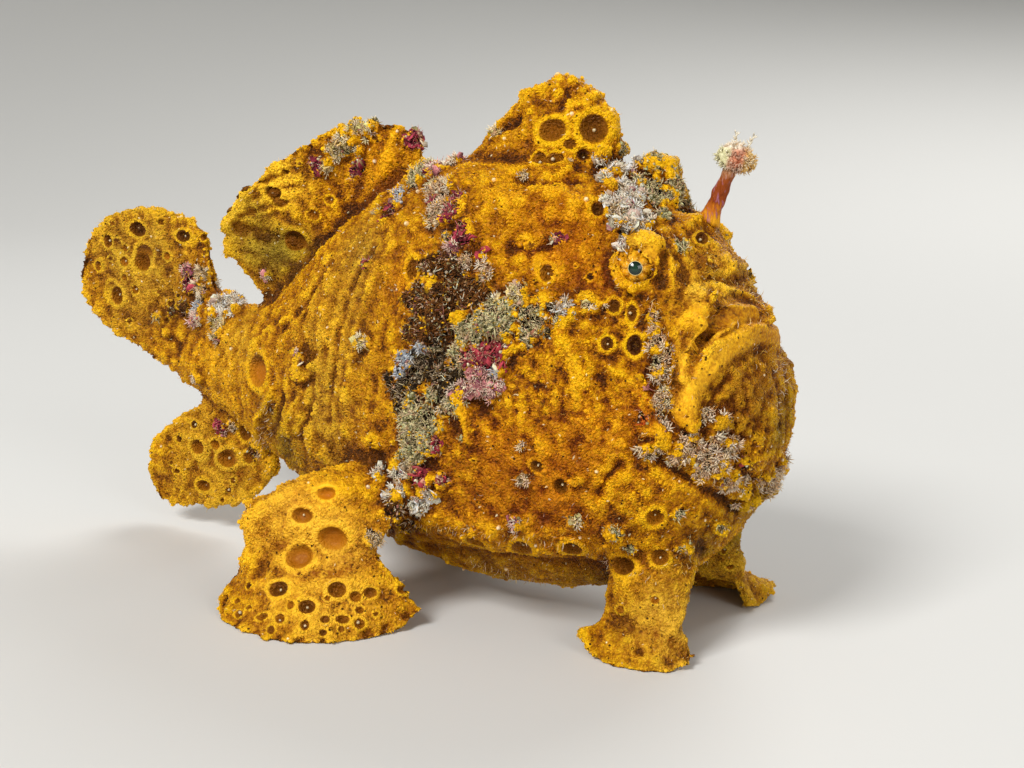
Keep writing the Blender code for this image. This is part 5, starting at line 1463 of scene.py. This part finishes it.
def eye_material():
    """A clear, wet cornea over a green-black pupil and an iris coloured like the skin."""
    material, add = new_material("wet_cornea")
    place = add(PLACE, give="Object")
    # grain 0.5 mm across
    grain = add(NOISE, {"Vector": place, "Scale": 1 / (0.5 * MM), "Detail": 2})
    tilt, petals = (add(ATTRIBUTE, give="Fac", attribute_name=name) for name in ("tilt", "petals"))
    # petals flecked with grain, the pale ring inside them, and the pupil
    petal = add(MIX, {0: add(RANGE, {0: petals, 1: -0.8, 2: -0.2}), 6: linear("#A4640A"),
                      7: linear("#E09C14")}, **COLOUR)
    petal = add(MIX, {0: add(RANGE, {0: grain, 1: 0.52, 2: 0.7}), 6: petal, 7: linear("#F0C858")}, **COLOUR)
    ring = add(MIX, {0: add(RANGE, {0: tilt, 1: 0.4, 2: 0.41}), 6: linear("#E2CC84"),
                     7: linear("#B4780E")}, **COLOUR)
    ring = add(MIX, {0: add(RANGE, {0: tilt, 1: 0.42, 2: 0.45}), 6: ring, 7: petal}, **COLOUR)
    pupil = add(MIX, {0: add(RANGE, {0: tilt, 1: 0.0, 2: 0.36}), 6: linear("#1C3C26"),
                      7: linear("#08120C")}, **COLOUR)
    colour = add(MIX, {0: add(RANGE, {0: tilt, 1: 0.37, 2: 0.385}), 6: pupil, 7: ring}, **COLOUR)
    finished(add, colour, grain, 0.05 * MM, Roughness=0.14, Coat_Weight=0.5, Coat_Roughness=0.03, IOR=1.34)
    return material


def lids():
    """Yellow petals of skin and white points, in rings round each eye."""
    draw = np.random.default_rng(SEED + 90)
    parts, cornea = [], eye_material()
    for name, side in zip(EYES, (-1, 1)):
        centre, radius, ahead = eyeball(name, side, cornea)
        across = unit(np.cross((0, 0, 1), ahead))
        over = np.cross(ahead, across)
        for shape, count, tilt, lift, size, low, high in (
                (SPINULE, 7, 46, 0.0, (3.2, 3.6, 0.5), "#CC8A0C", "#F2B824"),
                (SPINULE, 17, 58, 0.3, (3.0, 2.3, 0.5), "#C07C0A", "#EAAA1A"),
                (SPINULE, 18, 70, 0.7, (3.0, 2.4, 0.6), "#B8740A", "#E2A016"),
                (TWIGS[1], 9, 60, 0.5, (1.5, 1.5, 1.6), "#E0C890", "#FFFDF6"),
                (SPINULE, 14, 72, 1.4, (1.5, 0.6, 1.0), "#E0C890", "#FFFDF6")):
            turn = (np.arange(count) + draw.uniform(-0.25, 0.25, count)) * 2 * math.pi / count
            out = np.cos(turn)[:, None] * across + np.sin(turn)[:, None] * over
            angle = math.radians(tilt) + draw.normal(0, 0.04, count)
            up = np.cos(angle)[:, None] * ahead + np.sin(angle)[:, None] * out
            roots = {"place": centre + up * (radius + lift * MM), "up": up}
            sizes = np.array(size) * draw.uniform(0.75, 1.2, (count, 1)) * MM
            colours = [np.tile(paint(code), (count, 1)) for code in (low, high)]
            parts.append(planted(shape, roots, unit(out + 0.25 * ahead), sizes, *colours))
    coat_piece("lid_petals", parts, bpy.data.materials["skin_spinules"])


lids()


# Lure

# The stalk's colours from the brow to the bait
STALK_STOPS = ((0.05, "#DC9A14"), (0.24, "#BC6A12"), (0.44, "#84380E"), (0.8, "#8E4414"), (1.0, "#C89C74"))


def stalk():
    """The lure's stalk: yellow where it leaves the brow, then orange-red, and cream under the bait."""
    piece = node_copy("illicium")
    applied(piece, "REMESH", mode="VOXEL", voxel_size=0.4 * MM, use_smooth_shade=True)
    applied(piece, "SMOOTH", factor=0.5, iterations=4)
    points, normals = points_of(piece), normals_of(piece)
    height = (points[:, 2] - points[:, 2].min()) / np.ptp(points[:, 2])
    mm = points / MM
    wrinkle = 0.35 * soft_noise(mm * (1, 1, 0.3), 1.1, 31) + 0.35 * soft_noise(mm, 2.0, 32)
    flare = 1.6 * np.clip(1 - height / 0.3, 0, 1) ** 2 + 0.5 * np.clip((height - 0.8) / 0.2, 0, 1)
    set_points(piece, points + normals * ((wrinkle + flare - 0.2) * MM)[:, None])
    store(piece, "height", height)
    material, add = new_material("stalk_skin")
    place = add(PLACE, give="Object")
    height = add(ATTRIBUTE, give="Fac", attribute_name="height")
    # streaks 0.8 mm wide and four times as long
    long = add("ShaderNodeMapping", {"Vector": place, "Scale": (1, 1, 0.25)})
    streak = add(NOISE, {"Vector": long, "Scale": 1 / (0.8 * MM), "Detail": 3})
    along = add(MATH, {0: streak, 1: 0.6, 2: height}, operation="MULTIPLY_ADD")
    shade = add(RAMP, {0: add(RANGE, {0: along, 1: 0.3, 2: 1.3})}, stops=STALK_STOPS)
    mauve = add(RANGE, {0: streak, 1: 0.57, 2: 0.66, 3: 0.0, 4: 0.6})
    colour = add(MIX, {0: mauve, 6: shade, 7: linear("#A8708A")}, **COLOUR)
    finished(add, colour, streak, 0.7 * MM, Roughness=0.5, Specular_IOR_Level=0.15)
    dressed(piece, "lure_stalk", material, "illicium", slot="stalk")


def bait():
    """The lure's bait: a green lobe, a pink core and an ochre lobe, in small tufts, and two filaments."""
    low, high = (np.array(corner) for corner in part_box("esca"))
    centre = (low + high) / 2
    bpy.ops.mesh.primitive_ico_sphere_add(subdivisions=5, radius=1 * MM, location=centre)
    ball = bpy.context.object
    bpy.ops.object.transform_apply(location=True)
    outward = unit(points_of(ball) - centre)
    right, over = np.array(CAMERA_RIGHT), np.array(CAMERA_UP)
    aims = (0.3 * over - right, right - 0.3 * over, over + 0.1 * right)
    lobes = [np.exp((outward @ unit(aim) - 1) / 0.3) for aim in aims]
    swell = knobs(outward * 3.4, 1.5, 33)
    radius = 2.7 + 2.0 * lobes[0] + 2.3 * lobes[1] + 1.2 * lobes[2] + 0.9 * swell
    set_points(ball, centre + outward * (radius * MM)[:, None])
    deep, pale = (np.tile(paint(code), (len(outward), 1)) for code in ("#A85A38", "#DE9C7C"))
    darks, lights = ("#A49A5C", "#B0781C", "#B89468"), ("#EAE6BC", "#F0CA7C", "#F8ECD8")
    for lobe, dark, light in zip(lobes, darks, lights):
        share = step_up(0.08, 0.36, lobe)
        deep, pale = blend(deep, paint(dark), share), blend(pale, paint(light), share)
    # darker in the gaps between the knobs and paler on their tops, partly the bait's colour and partly
    # painted shade in the gaps
    store(ball, "tint", blend(deep, pale, 0.8 * swell))
    select_only(ball)
    bpy.ops.object.shade_smooth()
    crust = coat_material("bait_flesh", 0.45)
    dressed(ball, "lure_bait", crust, "esca", slot="bait")
    draw = np.random.default_rng(SEED + 95)
    points, normals = points_of(ball), normals_of(ball)
    parts = []
    for shape, count, size in ((POLYPS[0], 46, (2.0, 2.0, 2.3)), (POLYPS[1], 40, (1.8, 1.8, 2.0)),
                               (WART, 60, (1.1, 1.0, 1.4))):
        near = draw.choice(len(points), count, replace=False)
        roots = {"place": points[near], "up": unit(normals[near] + draw.normal(0, 0.2, (count, 3)))}
        sizes = np.array(size) * draw.uniform(0.7, 1.15, (count, 1)) * MM
        tips = blend(pale[near], paint("#FBF4DC"), draw.uniform(0.0, 0.7, count))
        parts.append(planted(shape, roots, unit(draw.normal(0, 1, (count, 3))), sizes, deep[near], tips))
    roots = {"place": centre + np.array([-0.4 * right + 3.2 * over, 3.0 * right + 3.0 * over]) * MM,
             "up": unit(np.array([over + 0.05 * right, over + 0.5 * right]))}
    cream = np.tile(paint("#F2E6CC"), (2, 1))
    sizes = np.full((2, 3), 4.8 * MM)
    parts.append(planted(FILAMENT, roots, np.tile(right, (2, 1)), sizes, cream * 0.7, cream))
    coat_piece("lure_threads", parts, crust, slot="bait")


stalk()
bait()


# Floor and light

def stage():
    bpy.ops.mesh.primitive_grid_add(x_subdivisions=FLOOR_CELLS, y_subdivisions=FLOOR_CELLS, size=FLOOR_SIZE)
    floor = bpy.context.object
    floor.name = "floor"
    points = points_of(floor)
    beyond = np.maximum(np.hypot(points[:, 0], points[:, 1]) - FLOOR_FLAT, 0)
    points[:, 2] = FLOOR_RISE * beyond ** 2
    set_points(floor, points)
    bpy.ops.object.shade_smooth()
    material, add = new_material("pale_painted_board")
    shader = add(SHADER, {"Base Color": linear("#D3D2CE"), "Roughness": 0.8})
    add(OUTPUT, {"Surface": shader})
    floor.data.materials.append(material)
    world = bpy.data.worlds.new("studio")
    bpy.context.scene.world = world
    world.use_nodes = True
    world.node_tree.nodes.clear()
    light = {"Color": linear("#E4E3E0"), "Strength": ROOM_LIGHT}
    room = node(world.node_tree, "ShaderNodeBackground", light)
    node(world.node_tree, "ShaderNodeOutputWorld", {"Surface": room})
    for place, size, power in LAMPS:
        bpy.ops.object.light_add(type="AREA", location=place)
        lamp = bpy.context.object
        lamp.rotation_euler = (Vector(place) - Vector((0.02, 0, 0.07))).to_track_quat("Z", "Y").to_euler()
        lamp.data.size = size
        lamp.data.energy = power
    bpy.context.scene.view_settings.view_transform = "Standard"


stage()
